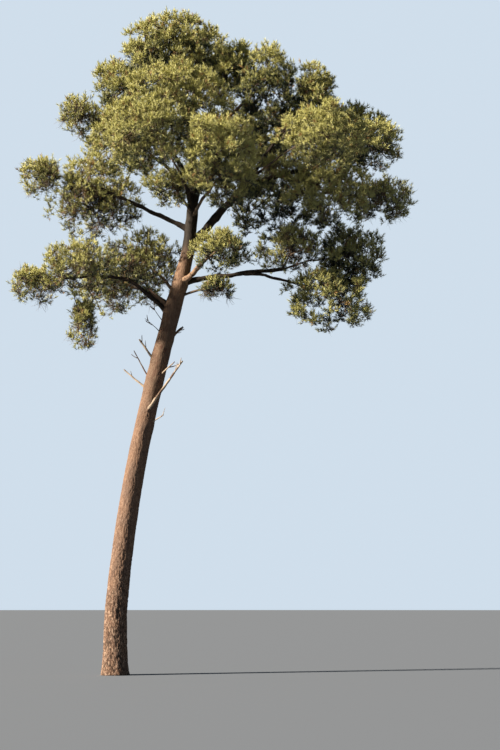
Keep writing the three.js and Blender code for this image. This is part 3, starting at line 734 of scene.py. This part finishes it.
def grow_twiglet(rule, start, out, pad_light, rng, growth):
    """A twiglet with an upright shoot at its end and more on its sides."""
    tip = start + out * rng.uniform(*rule["reach"]) + UP * TWIGLETS["rise"]
    lean = unit(END_WAY["out"] * out + END_WAY["up"] * UP + rng.normal(0, END_WAY["uneven"], 3))
    head = tip + lean * rng.uniform(*SHOOTS["end"])
    growth.twig(start, tip, head, *TWIGLET_RADII)
    # Painted light: needles on twiglets that stand more upright are lighter
    light = pad_light + PAINTED_LIGHT["raised"] * (out[2] - PAINTED_LIGHT["level"]) + rng.normal(0, PAINTED_LIGHT["uneven"])
    growth.shoot(tip, head, light + END_SHOOT_LIGHT + rng.normal(0, PAINTED_LIGHT["uneven"]), 0)
    across = unit(np.cross(out, rng.normal(size=3)))
    for j in range(rng.integers(*rule["shoots"])):
        where = start + (tip - start) * rng.uniform(*SHOOTS["along"])
        angle = j * SHOOTS["turn"] + rng.uniform(-SHOOTS["uneven"], SHOOTS["uneven"])
        sideways = across * math.cos(angle) + np.cross(out, across) * math.sin(angle)
        way = unit(SIDE_WAY["out"] * out + SIDE_WAY["aside"] * sideways + SIDE_WAY["up"] * UP)
        size = rng.uniform(*SHOOTS["side"])
        side_light = light + SIDE_SHOOT_LIGHT + rng.normal(0, PAINTED_LIGHT["uneven"])
        growth.shoot(where, where + way * size, side_light, 1)


def grow_crown():
    """Every mass's limbs, twigs and shoots, without the shoots whose needles would stand out of the crown."""
    growth = Growth()
    stems = {mass: mass.stem() for mass in MASSES}
    for mass in MASSES:
        random, rng = seeded(mass.index + 1), np.random.default_rng(SEEDS["pads"] + mass.index)
        balls = balls_near(mass, stems)
        twigs = twig_limbs(mass, stems[mass], balls, random)
        branchlets, reached = branchlets_of(mass, stems[mass], twigs, balls, random)
        lines = [stems[mass], *twigs, *branchlets]
        growth.limbs += lines
        for direction, reach in pad_places(mass, reached, balls, rng):
            grow_pad(mass, lines, direction, reach, rng, growth)
    shoots = np.array(growth.shoots)
    ends = shoots[:, 3:6] + NEEDLE_REACH * unit(shoots[:, 3:6] - shoots[:, 0:3])
    return growth.limbs, np.array(growth.twigs), shoots[blended(ends) <= 1]


# Meshes

def mesh_from(name, points, faces):
    """A mesh object from arrays of corners and triangles, at the origin."""
    mesh = bpy.data.meshes.new(name)
    mesh.vertices.add(len(points))
    mesh.vertices.foreach_set("co", points.astype(np.float32).ravel())
    mesh.loops.add(faces.size)
    mesh.loops.foreach_set("vertex_index", faces.astype(np.int32).ravel())
    mesh.polygons.add(len(faces))
    mesh.polygons.foreach_set("loop_start", np.arange(0, faces.size, 3, dtype=np.int32))
    mesh.update(calc_edges=True)
    mesh.validate()
    return shown(mesh)


def shown(data):
    """An object in the scene for a mesh, a lamp or a camera."""
    thing = bpy.data.objects.new(data.name, data)
    bpy.context.scene.collection.objects.link(thing)
    return thing


def unit_tube(sides, rings):
    """A closed cylinder of unit radius and height, cut into rings, as a bmesh."""
    bm = bmesh.new()
    bmesh.ops.create_cone(bm, segments=sides, radius1=1, radius2=1, depth=1, cap_ends=True, cap_tris=False)
    upright = [e for e in bm.edges if abs(e.verts[0].co.z - e.verts[1].co.z) > 0.5]
    bmesh.ops.subdivide_edges(bm, edges=upright, cuts=rings - 1)
    return bm


def tube_mesh(kind, limb, section):
    """A unit tube bent along a limb. At each corner, section gives the radius, a value for the surface, and
    the shift off the limb's line."""
    sides, height, fewest = TUBES[kind]
    bm = unit_tube(sides, max(fewest, round(limb.length / height)))
    mesh = bpy.data.meshes.new(kind)
    bm.to_mesh(mesh)
    bm.free()
    co = np.empty(len(mesh.vertices) * 3, np.float32)
    mesh.vertices.foreach_get("co", co)
    co = co.reshape(-1, 3).astype(float)
    run = np.clip(co[:, 2] + 0.5, 0, 1) * limb.length
    t, angle = limb.shares(run), np.arctan2(co[:, 1], co[:, 0])
    tangent = limb.tangents(t)
    other = unit(np.cross(limb.side, tangent))
    radius, value, shift = section(t, run, angle)
    ring = other * np.cos(angle)[:, None] + limb.side * np.sin(angle)[:, None]
    points = limb.line(t) + shift + ring * radius[:, None]
    mesh.vertices.foreach_set("co", points.astype(np.float32).ravel())
    surface = np.column_stack([radius * np.cos(angle), radius * np.sin(angle), run])
    store(mesh, "bark_relief", "FLOAT", "value", value)
    store(mesh, "along_limb", "FLOAT_VECTOR", "vector", surface)
    mesh.polygons.foreach_set("use_smooth", np.ones(len(mesh.polygons), bool))
    mesh.update()
    return mesh


def store(mesh, name, kind, field, values):
    attribute = mesh.attributes.new(name, kind, "POINT")
    attribute.data.foreach_set(field, np.asarray(values, np.float32).ravel())


def joined(name, meshes):
    """Several meshes as one object."""
    bm = bmesh.new()
    for mesh in meshes:
        bm.from_mesh(mesh)
        bpy.data.meshes.remove(mesh)
    whole = bpy.data.meshes.new(name)
    bm.to_mesh(whole)
    bm.free()
    return shown(whole)


def smoothstep(low, high, x):
    t = np.clip((x - low) / (high - low), 0, 1)
    return t * t * (3 - 2 * t)


def wobble(limb, run, seed, size):
    """A slow bend off the limb's line that fades out at both ends."""
    rng = np.random.default_rng(seed)
    ends = np.sin(np.pi * np.clip(run / limb.length, 0, 1))
    shift = np.zeros((len(run), 3))
    for wave in WAVES:
        phase, lean = rng.uniform(0, TURN), rng.normal(size=3)
        shift += (size * wave * ends * np.sin(TURN * run / wave + phase))[:, None] * lean
    return shift


def plates(radius, angle, run, width, height):
    """Bark plates as values from 0 in a fissure to 1 on a plate, with each plate's own level."""
    relief, level = np.empty(len(run)), np.empty(len(run))
    places = np.column_stack([radius * np.cos(angle) / width, radius * np.sin(angle) / width, run / height])
    for i, place in enumerate(places):
        at = Vector(place)
        slow, fine = (size * noise.noise_vector(at * waves) for size, waves in (WANDER, FRAY))
        away, cells = noise.voronoi(at + (slow + fine))
        relief[i] = away[1] - away[0]
        level[i] = noise.cell(cells[0] * LEVEL_WAVES)
    return smoothstep(0.0, FISSURE, relief), level


def three_round(centre, radius, axis):
    """Three corners round a centre, square to an axis."""
    side, other = square_to(axis)
    turns = [TURN * k / 3 for k in range(3)]
    return [centre + radius * (side * math.cos(a) + other * math.sin(a)) for a in turns]


def square_to(axis):
    """Two directions square to each axis and to each other."""
    side = unit(np.cross(axis, UP + 0.01 * axis[..., [1, 2, 0]]))
    return side, np.cross(axis, side)


def repeated(points, faces):
    """The same faces on each row of corners."""
    count, corners = points.shape[:2]
    starts = np.arange(count)[:, None, None] * corners
    return points.reshape(-1, 3), (np.array(faces)[None] + starts).reshape(-1, 3)


def twig_arrays(twigs):
    """Three-sided twigs with a bend and a pointed end, closed at the root."""
    root, bend, tip = twigs[:, 0:3], twigs[:, 3:6], twigs[:, 6:9]
    radius, end = twigs[:, 9:10], twigs[:, 10:11]
    axis = unit(tip - root)
    at_bend = three_round(bend, (radius + end) / 2, axis)
    corners = [*three_round(root, radius, axis), *at_bend, tip + axis * end]
    faces = [(0, 2, 1)]
    for a, b in ((0, 1), (1, 2), (2, 0)):
        faces += [(a, b, b + 3), (a, b + 3, a + 3), (a + 3, b + 3, 6)]
    return repeated(np.stack(corners, axis=1), faces)


def shoot_arrays(shoots, radius):
    """Shoots as slim three-sided points."""
    root, tip = shoots[:, 0:3], shoots[:, 3:6]
    corners = [*three_round(root, radius, unit(tip - root)), tip]
    return repeated(np.stack(corners, axis=1), [(0, 2, 1), (0, 1, 3), (1, 2, 3), (2, 0, 3)])


def needle_arrays(shoots, settings, rng):
    """Pairs of slim, pointed needles round each shoot, steeper towards its tip, and where each pair is."""
    count, pairs = len(shoots), settings.pairs
    root, tip = shoots[:, None, 0:3], shoots[:, None, 3:6]
    axis = unit(tip - root)
    side, other = square_to(axis)
    k = (np.arange(pairs) + 0.5) / pairs
    uneven = rng.uniform(-NEEDLES["uneven"], NEEDLES["uneven"], (count, pairs))
    along = np.clip(NEEDLES["first"] + (1 - NEEDLES["first"]) * k + uneven, 0, 1)
    turn = np.arange(pairs) * GOLDEN_ANGLE + rng.uniform(0, TURN, (count, 1))
    at_root, at_tip = NEEDLES["spread"]
    spread = np.radians(at_root + (at_tip - at_root) * k + rng.normal(0, NEEDLES["splay"], (count, pairs)))
    ring = side * np.cos(turn)[..., None] + other * np.sin(turn)[..., None]
    way = unit(axis * np.cos(spread)[..., None] + ring * np.sin(spread)[..., None] + NEEDLES["rise"] * UP)
    start = root + (tip - root) * along[..., None]
    size = settings.needle_length * rng.uniform(*NEEDLES["length"], (count, pairs, 1))
    facing = unit(np.cross(way, rng.normal(size=(count, pairs, 3))))
    half = settings.needle_width / 2
    blades = []
    for sign in (-1, 1):
        ahead = unit(way + sign * FORK * facing)
        flat = unit(np.cross(ahead, facing) + sign * TWIST * facing)
        blades.append(np.stack([start - flat * half, start + flat * half, start + ahead * size], axis=2))
    return np.stack(blades, axis=2), along


def in_parts(rows, faces_a_row):
    """Rows in as few even parts as keep each under TRIANGLES_A_PIECE triangles."""
    return enumerate(np.array_split(rows, math.ceil(len(rows) * faces_a_row / TRIANGLES_A_PIECE)), 1)


def finished(piece, material, nodes):
    piece.data.materials.clear()
    piece.data.materials.append(material)
    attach(piece, BODY)
    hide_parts(*nodes)


# Shader maths

class Value:
    """A shader socket that can be used in Python expressions."""

    def __init__(self, finish, socket):
        self.finish, self.socket = finish, socket

    def _math(self, operation, a, b):
        return self.finish.node("ShaderNodeMath", {"operation": operation}, {0: a, 1: b})

    def __add__(self, other):
        return self._math("ADD", self, other)

    def __radd__(self, other):
        return self._math("ADD", other, self)

    def __sub__(self, other):
        return self._math("SUBTRACT", self, other)

    def __rsub__(self, other):
        return self._math("SUBTRACT", other, self)

    def __mul__(self, other):
        return self._math("MULTIPLY", self, other)

    def __rmul__(self, other):
        return self._math("MULTIPLY", other, self)


class Finish:
    """A node material: node() adds any node, and surface() ends it in one Principled shader."""

    def __init__(self, name):
        self.material = bpy.data.materials.new(name)
        self.material.use_nodes = True
        self.material.node_tree.nodes.clear()

    def node(self, kind, settings, inputs, output=0):
        made = self.material.node_tree.nodes.new(kind)
        for key, value in settings.items():
            setattr(made, key, value)
        for key, value in inputs.items():
            if isinstance(value, Value):
                self.material.node_tree.links.new(value.socket, made.inputs[key])
            else:
                made.inputs[key].default_value = value
        return Value(self, made.outputs[output]) if len(made.outputs) else None

    def place(self):
        return self.node("ShaderNodeTexCoord", {}, {}, "Object")

    def bark(self):
        """The place on a limb's surface, with Z along the limb, and the relief of its bark."""
        along = self.node("ShaderNodeAttribute", {"attribute_name": "along_limb"}, {}, "Vector")
        return along, self.node("ShaderNodeAttribute", {"attribute_name": "bark_relief"}, {}, "Fac")

    def drawn_out(self, vector, rate):
        """A place whose Z goes at a slower rate, which draws a pattern out along the limb."""
        sockets = {"Vector": vector, "Scale": (1.0, 1.0, rate)}
        return self.node("ShaderNodeMapping", {"vector_type": "POINT"}, sockets)

    def noise(self, vector, scale, detail=3.0, roughness=0.55):
        sockets = {"Vector": vector, "Scale": scale, "Detail": detail, "Roughness": roughness}
        return self.node("ShaderNodeTexNoise", {}, sockets)

    def cells(self, vector, scale, output=0, feature="F1"):
        sockets = {"Vector": vector, "Scale": scale}
        return self.node("ShaderNodeTexVoronoi", {"feature": feature}, sockets, output)

    def edges(self, vector, scale):
        return self.cells(vector, scale, feature="DISTANCE_TO_EDGE")

    def ramp(self, value, low, high):
        """Value eased from 0 at low to 1 at high."""
        sockets = {"Value": value, "From Min": low, "From Max": high}
        return self.node("ShaderNodeMapRange", {"interpolation_type": "SMOOTHSTEP"}, sockets)

    def mix(self, factor, a, b):
        a, b = (x if isinstance(x, Value) else (*x, 1) for x in (a, b))
        return self.node("ShaderNodeMix", {"data_type": "RGBA"}, {0: factor, 6: a, 7: b}, 2)

    def surface(self, color, roughness, height=None, distance=0.01, specular=0.3):
        color = color if isinstance(color, Value) else (*color, 1)
        sockets = {"Base Color": color, "Roughness": roughness, "Specular IOR Level": specular}
        if height is not None:
            bump = {"Strength": 0.8, "Distance": distance, "Height": height}
            sockets["Normal"] = self.node("ShaderNodeBump", {}, bump)
        shader = self.node("ShaderNodeBsdfPrincipled", {}, sockets)
        self.node("ShaderNodeOutputMaterial", {}, {"Surface": shader})
        return self.material


def trunk_finish(bark):
    """Plates with dark fissures at the foot, flaking bark with scars above, and near-black bark in the crown,
    which is painted shade.
    """
    f = Finish("plated_bark")
    along, relief = f.bark()
    height = f.node("ShaderNodeSeparateXYZ", {}, {"Vector": along}, "Z")
    stretched = f.drawn_out(along, 0.42)
    patches, grain = f.noise(stretched, 5.0), f.noise(stretched, 70.0, 5.0, 0.65)
    foot, upper = 1 - f.ramp(height, *FOOT), f.ramp(height + 2.6 * (patches - 0.5), *UPPER)
    uneven_height = height + 0.6 * (patches - 0.5)

    wander = f.node("ShaderNodeTexNoise", {}, {"Vector": stretched, "Scale": 9.0}, "Color")
    bent = f.mix(0.04, stretched, wander)
    large, small = f.edges(bent, 25.0), f.edges(bent, 42.0)
    pale = f.ramp(f.cells(bent, 25.0, "Color"), 0.35, 0.75) * (0.6 * foot + 0.25)
    face = f.mix(f.ramp(patches, 0.4, 0.62), bark.plate, bark.plate_grey)
    face = f.mix(pale, face, bark.pale)
    face = f.mix(upper, face, bark.upper)
    face = f.mix(f.ramp(uneven_height, *FORK_BARK), face, bark.fork)

    blotches = f.ramp(f.noise(f.drawn_out(along, 0.55), 11.0, 5.0, 0.65), 0.5, 0.64)
    spots = 1 - f.ramp(f.cells(f.drawn_out(along, 0.7), 3.2) + 0.2 * (grain - 0.5), 0.1, 0.19)
    streaks = f.ramp(f.noise(f.drawn_out(along, 0.14), 62.0, 4.0, 0.6), 0.42, 0.68)
    face = f.mix(blotches * upper * 0.8, face, bark.scar)
    face = f.mix(spots * upper, face, bark.scar)
    face = f.mix(f.ramp(grain, 0.4, 0.75) * 0.25, face, bark.gap)
    face = f.mix(streaks * (0.5 - 0.15 * foot), face, bark.gap)

    crack = (1 - f.ramp(large, 0.02, 0.14)) * foot + (1 - f.ramp(small, 0.0, 0.12)) * (0.75 - 0.75 * foot)
    groove = (1 - f.ramp(relief + 0.4 * (grain - 0.5), 0.05, 0.5)) * (0.5 + 0.3 * foot)
    tone = f.mix(groove, f.mix(crack, face, bark.gap), f.mix(foot, bark.gap, bark.fissure))
    # Painted shade: near-black bark in the crown
    dark = f.mix(f.ramp(grain, 0.35, 0.75), bark.bough, bark.bough_grey_painted_shade)
    tone = f.mix(f.ramp(uneven_height, *CROWN_PAINTED_SHADE), tone, dark)
    height_map = 0.5 * grain + f.ramp(large, 0.0, 0.14) * foot
    return f.surface(tone, 0.9 - 0.12 * upper, height_map, 0.006, specular=BARK_SPECULAR)


def bough_finish(name, bark, young, old):
    f = Finish(name)
    along, relief = f.bark()
    stretched = f.drawn_out(along, 0.5)
    patches, grain = f.noise(stretched, 9.0), f.noise(stretched, 80.0, 4.0, 0.6)
    face = f.mix(f.ramp(patches, 0.35, 0.65), young, old)
    face = f.mix(f.ramp(grain, 0.4, 0.8) * 0.5, face, bark.fissure)
    tone = f.mix(1 - f.ramp(relief, 0.05, 0.6), face, bark.fissure)
    return f.surface(tone, 0.88, grain, 0.004, specular=BARK_SPECULAR)


def dead_wood_finish(wood):
    """Streaks of bleached and grey wood, with scraps of bark where some is left."""
    f = Finish("bleached_wood")
    along, bark_left = f.bark()
    streaks = f.noise(f.drawn_out(along, 0.06), 140.0, 4.0, 0.6)
    bare = f.mix(f.ramp(streaks, 0.35, 0.7), wood.grey, wood.pale)
    scraps = f.ramp(f.noise(along, 14.0) + 0.6 * bark_left, 0.82, 0.9)
    return f.surface(f.mix(scraps, bare, wood.bark), 0.8, streaks + scraps, 0.003)


def twig_finish(twigs):
    f = Finish("twig_bark")
    patches = f.noise(f.place(), 6.0)
    return f.surface(f.mix(f.ramp(patches, 0.35, 0.65), twigs.old, twigs.young), 0.85)


def needle_finish(name, tone):
    """Needles of one colour, with a fine mottle of slightly deeper green."""
    f = Finish(f"needles_{name}")
    mottle = f.ramp(f.noise(f.place(), 11.0, 2.0), 0.35, 0.65)
    deeper = tuple(0.8 * c for c in tone)
    return f.surface(f.mix(mottle, deeper, tuple(tone)), 0.55, specular=0.35)


# Sections along the limbs

def trunk_section(limb, bark):
    """Plates that are smaller and shallower above the foot, slow lumps, and collars round the limbs."""
    collars = [(DEAD_LIMBS[row[0]], *DEAD_COLLAR) for row in DEAD_BRANCHES]
    collars += [(LIMBS[row[0]], *BOUGH_COLLAR) for row in BOUGHS if row[1] == "trunk"]
    heights = np.linspace(0, limb.length, 400)
    sizes = 1 - (1 - bark.plates_above) * smoothstep(*PLATES_SHRINK, heights)
    climbed = np.concatenate([[0], np.cumsum(np.diff(heights) / sizes[1:])])

    def section(t, run, angle):
        radius = limb.radius(t, -angle)
        size, climb = np.interp(run, heights, sizes), np.interp(run, heights, climbed)
        relief, level = plates(radius / size, angle, climb, bark.plate_width, bark.plate_height)
        shallower = 1 - smoothstep(*FISSURES_FADE, run)
        depth = bark.crown_depth + (bark.foot_depth - bark.crown_depth) * shallower
        depth = depth * (0.75 + 0.5 * level) * np.clip(radius / 0.2, 0.35, 1)
        around = np.column_stack([np.cos(angle), np.sin(angle), 0 * angle])
        points = limb.line(t) + radius[:, None] * around
        swell = np.zeros(len(run))
        for branch, height, width in collars:
            near = branch.line(np.linspace(0, 1, 30))
            away = np.linalg.norm(near - near[0], axis=1)
            skin = near[np.argmin(np.abs(away - COLLAR_AT))]
            from_skin = np.linalg.norm(points - skin, axis=1) / width
            swell = np.maximum(swell, height * np.exp(-(from_skin**2)))
        lumps = np.array([noise.noise(Vector(point)) for point in points * BARK["lump_waves"]])
        radius = radius + BARK["lift"] - depth * (1 - relief) + swell + BARK["lumps"] * lumps
        return radius, relief, np.zeros((len(run), 3))

    return section


def rippled(run, i, ripples):
    """What a limb's own ripples multiply its radius by."""
    return 1 + sum(size * np.sin(run * waves + k * i) for k, (size, waves) in enumerate(ripples, 1))


def bough_section(limb, carrier, i):
    """Plates on a bough that swells where it comes out of its carrier's radius."""

    def section(t, run, angle):
        root = np.exp(-np.maximum(run - carrier, 0) / BOUGH_BARK["swell_fades"])
        radius = limb.radius(t) * (1 + BOUGH_BARK["swell"] * root)
        radius = radius * rippled(run, i, BOUGH_RIPPLES)
        relief, level = plates(radius, angle, run + 3.7 * i, BOUGH_BARK["width"], BOUGH_BARK["height"])
        radius = radius - BOUGH_BARK["depth"] * (1 - relief) * (0.7 + 0.6 * level)
        return radius, relief, wobble(limb, run, SEEDS["bough"] + i, BENDS["bough"])

    return section


def broken_section(limb):
    """A torn limb, with its end drawn out into splinters."""

    def section(t, run, angle):
        ridged = TORN["ridges"] * np.sin(2 * angle + 4 * run) + TORN["lumps"] * np.sin(37 * run)
        radius = limb.radius(t) * (1 + ridged) * (1 - TORN["taper"] * t**2)
        torn = np.where(run > limb.length - AT_END, TORN["splinters"] * np.sin(3 * angle), 0.0)
        return radius, np.ones(len(run)), limb.tangents(t) * torn[:, None]

    return section


def dead_section(limb, seed, barked):
    """Ridged dead wood that thickens inside the trunk and ends in a jagged break."""
    phases = np.random.default_rng(SEEDS["ridges"] + seed).uniform(0, TURN, 4)

    def section(t, run, angle):
        ridged = np.sin(3 * angle + 5 * run + phases[0]) + np.sin(31 * run + phases[1])
        root = np.exp(-np.maximum(run - DEAD["until"], 0) / DEAD["fades"])
        radius = limb.radius(t) * (1 + DEAD["ridges"] * ridged) * (1 + DEAD["thicker"] * root)
        end = run > limb.length - AT_END
        jag = np.where(end, DEAD["jags"] * radius * np.sin(2 * angle + phases[2]), 0.0)
        bend = wobble(limb, run, SEEDS["dead"] + seed, BENDS["dead"])
        bark = barked + 0.3 * np.sin(11 * run + phases[3])
        return radius * np.where(end, DEAD["break"], 1.0), bark, bend + limb.tangents(t) * jag[:, None]

    return section


def branchlet_section(limb, i):
    def section(t, run, angle):
        radius = limb.radius(t) * rippled(run, i, BRANCHLET_RIPPLES)
        return radius, np.ones(len(run)), wobble(limb, run, SEEDS["branchlet"] + i, BENDS["branchlet"])

    return section


# Operators

class PINE_OT_build_trunk(bpy.types.Operator):
    """Builds the trunk, with its flared foot and plated, fissured bark"""

    bl_idname = "pine.build_trunk"
    bl_label = "Build trunk"

    def execute(self, context):
        bark, limb = context.scene.pine_bark, LIMBS["trunk"]
        piece = joined("trunk_bark", [tube_mesh("trunk", limb, trunk_section(limb, bark))])
        finished(piece, trunk_finish(bark), ["trunk"])
        return {"FINISHED"}


class PINE_OT_build_boughs(bpy.types.Operator):
    """Builds the boughs, which swell where they leave what carries them and bend a little on their way"""

    bl_idname = "pine.build_boughs"
    bl_label = "Build boughs"

    def execute(self, context):
        bark, meshes = context.scene.pine_bark, []
        for i, row in enumerate(BOUGHS):
            limb = LIMBS[row[0]]
            carrier = LIMBS["trunk"].radius_at(0.7) if row[1] == "trunk" else 0.06
            meshes.append(tube_mesh("bough", limb, bough_section(limb, carrier, i)))
        nodes = [f"bough_{row[0]}" for row in BOUGHS]
        flaking = nodes.index("bough_right_stub")
        limb = DEAD_LIMBS["broken"]
        snag = tube_mesh("broken", limb, broken_section(limb))
        light = bough_finish("flaking_bough_bark", bark, bark.fork, bark.plate)
        flakes = joined("flaking_limbs", [meshes.pop(flaking), snag])
        finished(flakes, light, [nodes.pop(flaking)])
        # Painted shade: the boughs' near-black bark
        dark = bough_finish("bough_bark", bark, bark.bough, bark.bough_grey_painted_shade)
        finished(joined("boughs", meshes), dark, nodes)
        return {"FINISHED"}


class PINE_OT_build_dead_branches(bpy.types.Operator):
    """Builds the bleached dead branches on the bare trunk, with their broken ends and side twigs"""

    bl_idname = "pine.build_dead_branches"
    bl_label = "Build dead branches"

    def execute(self, context):
        meshes = []
        names = [row[0] for row in DEAD_BRANCHES + BROKEN if row[0] != "broken"]
        for i, name in enumerate(names):
            limb, barked = DEAD_LIMBS[name], BARKED.get(name, USUALLY_BARKED)
            meshes.append(tube_mesh("dead", limb, dead_section(limb, i, barked)))
            rng = np.random.default_rng(SEEDS["spurs"] + i)
            for _ in range(SPURS.get(name, 1)):
                spur = self.spur(limb, rng)
                meshes.append(tube_mesh("spur", spur, dead_section(spur, SPUR_SEED + i, barked)))
        nodes = [f"dead_branch_{row[0]}" for row in DEAD_BRANCHES]
        material = dead_wood_finish(context.scene.pine_dead_wood)
        finished(joined("dead_branches", meshes), material, nodes)
        return {"FINISHED"}

    def spur(self, limb, rng):
        """A side twig near a branch's end."""
        root = limb.at(rng.uniform(*SPUR["from"]))
        ahead = unit(limb.at(1) - limb.at(0))
        way = unit(ahead + SPUR["aside"] * unit(np.cross(ahead, rng.normal(size=3))) + SPUR["up"] * UP)
        tip = root + way * rng.uniform(*SPUR["length"])
        radius = rng.uniform(*SPUR["radius"])
        return limb_between(root, tip, SPUR_ARCH, tapered(radius, radius / 2))


class PINE_OT_build_crown(bpy.types.Operator):
    """Grows the crown's branchlets, twigs and needles, and joins each kind into pieces"""

    bl_idname = "pine.build_crown"
    bl_label = "Build crown"

    def execute(self, context):
        limbs, twigs, shoots = grow_crown()
        if not len(shoots):
            raise RuntimeError("no shoot has grown in any mass")
        nodes = [f"needles_{mass.name}" for mass in MASSES]
        settings = context.scene.pine_twigs
        bark = twig_finish(settings)
        meshes = []
        for i, limb in enumerate(limbs):
            meshes.append(tube_mesh("branchlet", limb, branchlet_section(limb, i)))
        finished(joined("branchlets", meshes), bark, nodes)
        for part, some in in_parts(twigs, faces_a_row=10):
            finished(mesh_from(f"twigs_{part}", *twig_arrays(some)), bark, nodes)
        stems = shoot_arrays(shoots[shoots[:, 7] > 0], settings.shoot_radius)
        finished(mesh_from("shoots", *stems), bark, nodes)
        self.build_needles(context.scene.pine_needles, shoots, nodes)
        return {"FINISHED"}

    def build_needles(self, settings, shoots, nodes):
        """Needles in colours by their shoot's painted light and shade, lighter towards its tip, and some
        dying.
        """
        rng = np.random.default_rng(SEEDS["needles"])
        blades, along = needle_arrays(shoots, settings, rng)
        # Painted light and shade: each shoot's needles take the colour of its painted light
        light = shoots[:, 6:7] + NEEDLE_SHADE["gain"] * (along - NEEDLE_SHADE["even"])
        kind = np.digitize(light, list(NEEDLE_PAINTED_LIGHT.values()))
        names = [*NEEDLE_PAINTED_LIGHT, "fresh", "straw"]
        kind[rng.random(len(shoots)) < STRAW_SHARE] = names.index("straw")
        for k, name in enumerate(names):
            chosen = blades[kind == k].reshape(-1, 3, 3)
            if not len(chosen):
                continue
            material = needle_finish(name, getattr(settings, name))
            for part, some in in_parts(chosen, faces_a_row=1):
                piece = mesh_from(f"needles_{name}_{part}", *repeated(some, [(0, 1, 2)]))
                finished(piece, material, nodes)


class PINE_OT_build_stage(bpy.types.Operator):
    """Sets the plain floor, the soft lights, the surroundings and the camera"""

    bl_idname = "pine.build_stage"
    bl_label = "Build stage"

    def execute(self, context):
        settings, scene = context.scene.pine_stage, context.scene
        bm = bmesh.new()
        bmesh.ops.create_circle(bm, cap_ends=True, segments=64, radius=FLOOR_RADIUS)
        mesh = bpy.data.meshes.new("floor")
        bm.to_mesh(mesh)
        bm.free()
        floor = shown(mesh)
        mesh.materials.append(Finish("pale_floor").surface(tuple(settings.floor), 0.9))

        world = bpy.data.worlds.new("surroundings")
        world.use_nodes = True
        self.surroundings(world.node_tree, settings)
        scene.world = world
        scene.view_settings.view_transform = "Standard"

        sun = self.lamp("key_light", "SUN", SUN, settings.key)
        sun.angle = math.radians(SUN["degrees"])
        fill = self.lamp("fill_light", "AREA", FILL, settings.fill)
        fill.shape, fill.size = "DISK", FILL["size"]

        camera = bpy.data.cameras.new("camera")
        camera.sensor_width, camera.lens, camera.clip_end = CAMERA["sensor"], CAMERA["lens"], CAMERA["sees"]
        viewer = shown(camera)
        viewer.location = CAMERA["from"]
        viewer.rotation_euler = (math.radians(CAMERA["tilt"]), 0, 0)
        scene.camera = viewer
        return {"FINISHED"}

    def surroundings(self, tree, settings):
        """Soft light from all round, in front of a paler plain backdrop."""
        soft, seen = tree.nodes["Background"], tree.nodes.new("ShaderNodeBackground")
        tones = ((soft, settings.soft, SOFT_STRENGTH), (seen, settings.backdrop, BACKDROP_STRENGTH))
        for background, tone, strength in tones:
            background.inputs["Color"].default_value = (*tone, 1)
            background.inputs["Strength"].default_value = strength
        both, path = tree.nodes.new("ShaderNodeMixShader"), tree.nodes.new("ShaderNodeLightPath")
        tree.links.new(path.outputs["Is Camera Ray"], both.inputs[0])
        tree.links.new(soft.outputs[0], both.inputs[1])
        tree.links.new(seen.outputs[0], both.inputs[2])
        tree.links.new(both.outputs[0], tree.nodes["World Output"].inputs["Surface"])

    def lamp(self, name, kind, place, tone):
        """A lamp turned towards the middle of the tree."""
        light = bpy.data.lights.new(name, kind)
        light.energy, light.color = place["energy"], tuple(tone)
        lamp = shown(light)
        lamp.location = place["from"]
        lamp.rotation_euler = (Vector(AIM) - lamp.location).to_track_quat("-Z", "Y").to_euler()
        return light


class PINE_PT_panel(bpy.types.Panel):
    """Lists the pine's pieces, in the order in which they are built"""

    bl_label = "Pine"
    bl_idname = "PINE_PT_panel"
    bl_space_type = "VIEW_3D"
    bl_region_type = "UI"
    bl_category = "Pine"

    def draw(self, context):
        for operator in OPERATORS:
            self.layout.operator(operator.bl_idname)


OPERATORS = [
    PINE_OT_build_stage,
    PINE_OT_build_trunk,
    PINE_OT_build_boughs,
    PINE_OT_build_dead_branches,
    PINE_OT_build_crown,
]
SETTINGS = {
    "pine_bark": PineBarkSettings,
    "pine_dead_wood": PineDeadWoodSettings,
    "pine_twigs": PineTwigSettings,
    "pine_needles": PineNeedleSettings,
    "pine_stage": PineStageSettings,
}


def register():
    for kind in (*SETTINGS.values(), *OPERATORS, PINE_PT_panel):
        bpy.utils.register_class(kind)
    for name, kind in SETTINGS.items():
        setattr(bpy.types.Scene, name, PointerProperty(type=kind))


def unregister():
    for name in SETTINGS:
        delattr(bpy.types.Scene, name)
    for kind in (PINE_PT_panel, *reversed(OPERATORS), *SETTINGS.values()):
        bpy.utils.unregister_class(kind)


def main():
    register()
    bpy.ops.pine.build_stage()
    bpy.ops.pine.build_trunk()
    bpy.ops.pine.build_boughs()
    bpy.ops.pine.build_dead_branches()
    bpy.ops.pine.build_crown()


if __name__ == "__main__":
    main()
